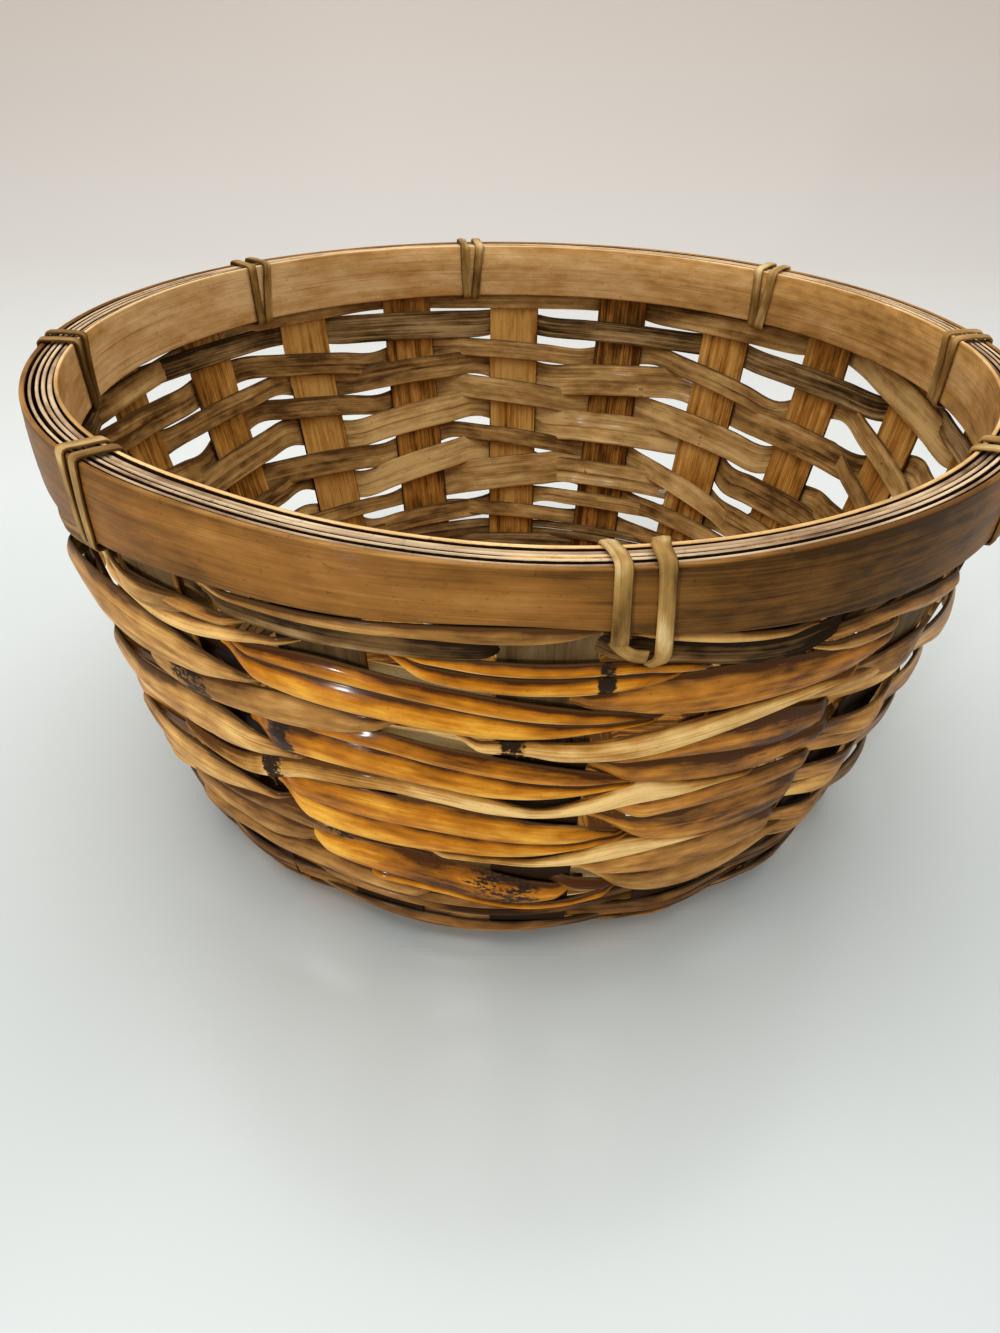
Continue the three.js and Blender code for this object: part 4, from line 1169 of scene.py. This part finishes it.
def make_rim():
    outer = rim_ring(0.0, BAND_HEIGHT, 3.45, 1.3, 301, crown=0.3, count=31, tone_wander=0.08,
                     shades=HOOP_LIGHT_AND_SHADE, uneven=True, back_soot=PAINTED_GAP_SHADE, edges=OUTER_EDGES)
    inner = rim_ring(0.1, BAND_HEIGHT, -3.9, 0.9, 302, crown=-0.15, count=31, skin=-1,
                     shades=INNER_LIGHT_AND_SHADE, soot=PAINTED_GAP_SHADE, back_soot=0)
    inner_fillers = [rim_ring(0.5, FILLER_HEIGHT, -2.35, 1.1, 303, waver=0.1, tone=0.4, soot=PAINTED_GAP_SHADE),
                     rim_ring(0.3, FILLER_HEIGHT, -1.0, 0.9, 306, waver=0.1, soot=PAINTED_GAP_SHADE)]
    outer_fillers = [rim_ring(0.4, FILLER_HEIGHT, 1.9, 0.7, 304, waver=0.1, soot=PAINTED_GAP_SHADE),
                     rim_ring(0.3, THIN_HEIGHT, 0.5, 0.8, 305, waver=0.06, tone=0.55, count=7,
                              soot=PAINTED_GAP_SHADE)]
    make_piece("outer_hoop_strip", [outer], "outer hoop", ["outer_rim_hoop"])
    make_piece("inner_hoop_strip", [inner], "inner hoop", ["inner_rim_hoop"])
    make_piece("inner_filler_strip", inner_fillers, "filler", ["inner_rim_filler"])
    make_piece("outer_filler_strip", outer_fillers, "filler", ["outer_rim_filler"])


make_rim()
print("rim rings: 6")

# %% [markdown]
# ## The lashings
#
# Each lashing is one cane strip that goes twice round the rim through the openings between the stakes.
# It bends sharply over the hoops' edges and leans a little, as hand-wound cane does. The front one is
# the newest and palest. Its left turn ends square, its right turn reaches lower, and a short hook of
# cane joins them under the hoop.

# %% A cane strip
LASHING_OPENINGS = [0, 2, 4, 6, 9, 11, 13, 15]
LASHING_SHIFTS = [-6.5, 2, 3.5, 8, -4, -3, 8.5, 8.5]
LASHING_TONES = [0.38, 0.3, 0.35, 0.4, 0.3, 0.3, 0.12, 0.35]
LASHING_WIDTH, HOOK_WIDTH = 3.2, 2.7
LASHING_THICKNESS = 0.6
OUTER_LAY, INNER_LAY, UPPER_LAY = 4.75, -5.0, -0.65
LASHING_CORE = (8.5, 0)
CANE_BEND, BEND_SHARE, CANE_STEP, BEND_POINTS = 1.1, 0.45, 0.8, 6
TOP_LIGHT, TOP_LIGHT_REACH = 0.22, 3


def rounded_path(corners):
    """A path through the corners with short bends in place of sharp ones."""
    points = np.array(corners, float)
    path = [points[0]]
    for before, here, after in zip(points[:-2], points[1:-1], points[2:]):
        back, on = before - here, after - here
        lengths = np.linalg.norm(back), np.linalg.norm(on)
        cut = min(CANE_BEND, lengths[0] * BEND_SHARE, lengths[1] * BEND_SHARE)
        start, end = here + back / lengths[0] * cut, here + on / lengths[1] * cut
        for t in np.linspace(0, 1, BEND_POINTS):
            path.append((1 - t) ** 2 * start + 2 * (1 - t) * t * here + t ** 2 * end)
    path = np.array(path + [points[-1]])
    travel = np.concatenate([[0], np.cumsum(np.linalg.norm(np.diff(path, axis=0), axis=1))])
    wanted = np.linspace(0, travel[-1], int(travel[-1] / CANE_STEP) + 2)
    return np.stack([np.interp(wanted, travel, path[:, k]) for k in range(3)], 1)


def cane(corners, azimuth, seed, width=LASHING_WIDTH, tone=0.6, flat=False):
    """A cane strip along corners near an azimuth.

    It wraps round the rim, so its inner face looks at the rim's core, or it lies flat on the outside.
    """
    rng = np.random.default_rng(seed)
    path = rounded_path(corners)
    places, _, out = on_wall(path[:, 0], path[:, 1], azimuth + path[:, 2] / RIM_RADIUS)
    forward = unit_rows(np.gradient(places, axis=0))
    if flat:
        normals = out - forward * np.einsum("ij,ij->i", forward, out)[:, None]
    else:
        normals = np.cross(forward, [-math.sin(azimuth), math.cos(azimuth), 0])
        core, _, _ = on_wall(*LASHING_CORE, azimuth)
        if np.einsum("ij,ij->i", normals, places - core).sum() < 0:
            normals = -normals
    normals = unit_rows(normals)
    share = np.linspace(0, 1, len(places))
    wide = width * (1 + 0.06 * wander(share, rng, (1.3, 2.7)))
    # Painted light: the cane is lighter where it runs over the rim's top.
    top_light = TOP_LIGHT * np.clip(1 - np.abs(path[:, 0]) / TOP_LIGHT_REACH, 0, 1)
    shade = tone + 0.1 * wander(share, rng, (1.1, 2.3, 4.1)) + top_light
    return sweep_strip(places, np.cross(normals, forward), normals, wide, LASHING_THICKNESS, rng,
                       crown=0.15, relief=0.04, tone=shade)


print("lashing openings:", LASHING_OPENINGS)

# %% [markdown]
# A turn of a lashing is a few corners: under the rim, up its outside, over the top, down its inside and
# back under. Cane could be simulated as a rope, but on a rim it always lies in these corners. A little
# seeded lean keeps the plain ones apart. The front one's corners are listed, because it is the one you
# see.

# %% The lashings
INNER_DROP = 1.5
TURN_APART, TURN_REACH, ARCH = (2.2, 0.4), (0.9, 0.8), (0, 0.3)
LEAN_OUT, LEAN_IN = (0.2, 0.5), (0.4, 0.9)


def lashing_turn(azimuth, reach, middle, lean_out, lean_in, arch=0.0):
    """Corner places (along, offset, sideways) of one turn, from under the rim, up and over, and back.

    reach is how far below the hoops it goes, lean_out and lean_in are half of its sideways lean.
    """
    top, bottom = (float(edge) for edge in hoop_edges(azimuth))
    upper, outer, inner = top + UPPER_LAY, bottom + reach, top + BAND_HEIGHT + min(reach, INNER_DROP)
    return [
        (outer, 0.5, middle + lean_out),
        (outer, OUTER_LAY, middle + lean_out),
        (upper, OUTER_LAY, middle - lean_out),
        (upper - arch, 0, middle - lean_out),
        (upper, INNER_LAY, middle - lean_in),
        (inner, INNER_LAY, middle + lean_in),
        (inner, -0.5, middle + lean_in),
    ]


def plain_lashing(k, azimuth):
    """Two turns. Each measure is its least value and a random share of its spread."""
    rng = np.random.default_rng(400 + k)
    strips = []
    for side in (-1, 1):
        measures = [least + spread * rng.random()
                    for least, spread in (TURN_APART, TURN_REACH, LEAN_OUT, LEAN_IN, ARCH)]
        middle, reach, lean_out, lean_in, arch = measures
        corners = lashing_turn(azimuth, reach, side * middle, -side * lean_out, -side * lean_in, arch)
        strips.append(cane(corners, azimuth, 420 + 2 * k + side, tone=LASHING_TONES[k]))
    return strips


def front_lashing(azimuth):
    """The left turn with its square end, the right turn that reaches lower, and the hook between."""
    left = lashing_turn(azimuth, 1.5, -4.0, lean_out=0.3, lean_in=1.4)[1:]
    right = lashing_turn(azimuth, 4.6, 3.6, lean_out=0.7, lean_in=-1.2, arch=0.9)[1:]
    end = left[0][0]
    right[:1] = [(end + 5.6, 3.5, 2.4), (end + 3.6, OUTER_LAY, 4.3)]
    hook = [(end - 0.6, 3.9, -4.6), (end + 1.2, 4.0, -3.4), (end + 2.9, 4.0, -1.2), (end + 3.4, 4.0, 1.6)]
    return [cane(left, azimuth, 421, tone=LASHING_TONES[0]),
            cane(right, azimuth, 423, tone=LASHING_TONES[0]),
            cane(hook, azimuth, 425, width=HOOK_WIDTH, tone=0.5, flat=True)]


def make_lashings():
    for k, (opening, shift) in enumerate(zip(LASHING_OPENINGS, LASHING_SHIFTS)):
        azimuth = FRONT + (opening + 0.5) * STAKE_STEP + shift / RIM_RADIUS
        strips = plain_lashing(k, azimuth) if k else front_lashing(azimuth)
        make_piece(f"lashing_strip_{k + 1}", strips, "cane", [f"lashing_{k + 1}"])


make_lashings()
print("lashings:", len(LASHING_OPENINGS))

# %% [markdown]
# ## The floor and the backdrop
#
# The basket stands on a pale, slightly glossy sheet that curves up behind it, as a photographer's sheet
# does, so no line shows where the floor ends. The sheet is cool and almost white in front, a little
# darker and greener right at the front edge, and warmer and darker behind. A ramp along its depth paints
# this light and shade into the sheet's colour, so no extra light falls on the basket.

# %% The floor and the backdrop
SHEET_HALF_WIDTH = 3.0
SHEET_FRONT, SHEET_BEND_START = -3.0, 0.7
SHEET_BEND, BEND_STEPS = 0.9, 24
SHEET_TOP = 3.5
# Painted light and shade along the sheet's depth, from the front edge to the backdrop.
SHEET_COLOURS = [(0, (196, 204, 204)), (0.18, (206, 213, 212)), (0.34, (224, 230, 229)),
                 (1, (198, 188, 179))]
COLOURS_FROM, COLOURS_TO = -0.4, 1.3


def sheet_finish():
    w = Wiring("pale_sheet")
    place = w.add("ShaderNodeNewGeometry", {}).outputs["Position"]
    depth = w.add("ShaderNodeSeparateXYZ", {0: place}).outputs["Y"]
    limits = {"From Min": COLOURS_FROM, "From Max": COLOURS_TO}
    share = w.add("ShaderNodeMapRange", {"Value": depth, **limits})
    colour = w.ramp(share.outputs[0], SHEET_COLOURS)
    return w.finished({"Base Color": colour, "Roughness": 0.25, "Specular IOR Level": 0.55})


def make_sheet():
    angles = np.linspace(0, math.pi / 2, BEND_STEPS)
    curve = [(SHEET_BEND * math.sin(angle), SHEET_BEND * (1 - math.cos(angle))) for angle in angles]
    profile = [(SHEET_FRONT, 0.0)]
    profile += [(SHEET_BEND_START + depth, height) for depth, height in curve]
    profile.append((SHEET_BEND_START + SHEET_BEND, SHEET_TOP))
    points = [(x, y, z) for y, z in profile for x in (-SHEET_HALF_WIDTH, SHEET_HALF_WIDTH)]
    faces = [(2 * k, 2 * k + 1, 2 * k + 3, 2 * k + 2) for k in range(len(profile) - 1)]
    mesh = bpy.data.meshes.new("sheet")
    mesh.from_pydata(points, [], faces)
    mesh.polygons.foreach_set("use_smooth", [True] * len(mesh.polygons))
    mesh.materials.append(sheet_finish())
    sheet = bpy.data.objects.new("sheet", mesh)
    bpy.context.scene.collection.objects.link(sheet)


make_sheet()
print("sheet bends up", SHEET_BEND_START, "m behind the basket")

# %% [markdown]
# ## The light
#
# A wide soft lamp above and to the left gives the soft shadows, and the world fills them. A small lamp
# low in front on the left puts the bright spots on the varnished strips. Together they light a white
# surface to about white, so each colour comes out about as it is written.

# %% The light
WORLD_COLOUR, WORLD_LEVEL = (1, 0.99, 0.975, 1), 0.6
OVERHEAD_PLACE, OVERHEAD_SIZE, OVERHEAD_POWER = (-0.1, 0.05, 1.8), (2.2, 1.8), 30
SPOT_TURN, SPOT_RISE, SPOT_DISTANCE = math.radians(-125), math.radians(8), 1.1
SPOT_SIZE, SPOT_POWER = (0.04, 0.04), 4


def make_world():
    world = bpy.data.worlds.new("studio")
    world.use_nodes = True
    bpy.context.scene.world = world
    back = world.node_tree.nodes["Background"]
    back.inputs["Color"].default_value = WORLD_COLOUR
    back.inputs["Strength"].default_value = WORLD_LEVEL


def soft_light(name, place, aim, size, power):
    light = bpy.data.lights.new(name, "AREA")
    light.shape = "RECTANGLE"
    light.size, light.size_y = size
    light.energy = power
    lamp = bpy.data.objects.new(name, light)
    lamp.location = place
    lamp.rotation_euler = (Vector(aim) - Vector(place)).to_track_quat("-Z", "Y").to_euler()
    bpy.context.scene.collection.objects.link(lamp)


make_world()
soft_light("overhead", OVERHEAD_PLACE, (0, 0, 0.05), OVERHEAD_SIZE, OVERHEAD_POWER)
spot_place = (SPOT_DISTANCE * math.cos(SPOT_TURN) * math.cos(SPOT_RISE),
              SPOT_DISTANCE * math.sin(SPOT_TURN) * math.cos(SPOT_RISE),
              SPOT_DISTANCE * math.sin(SPOT_RISE))
soft_light("spot", spot_place, (0, -0.1, 0.06), SPOT_SIZE, SPOT_POWER)
bpy.context.scene.view_settings.view_transform = "Standard"
print("lamps: 2, world level:", WORLD_LEVEL)
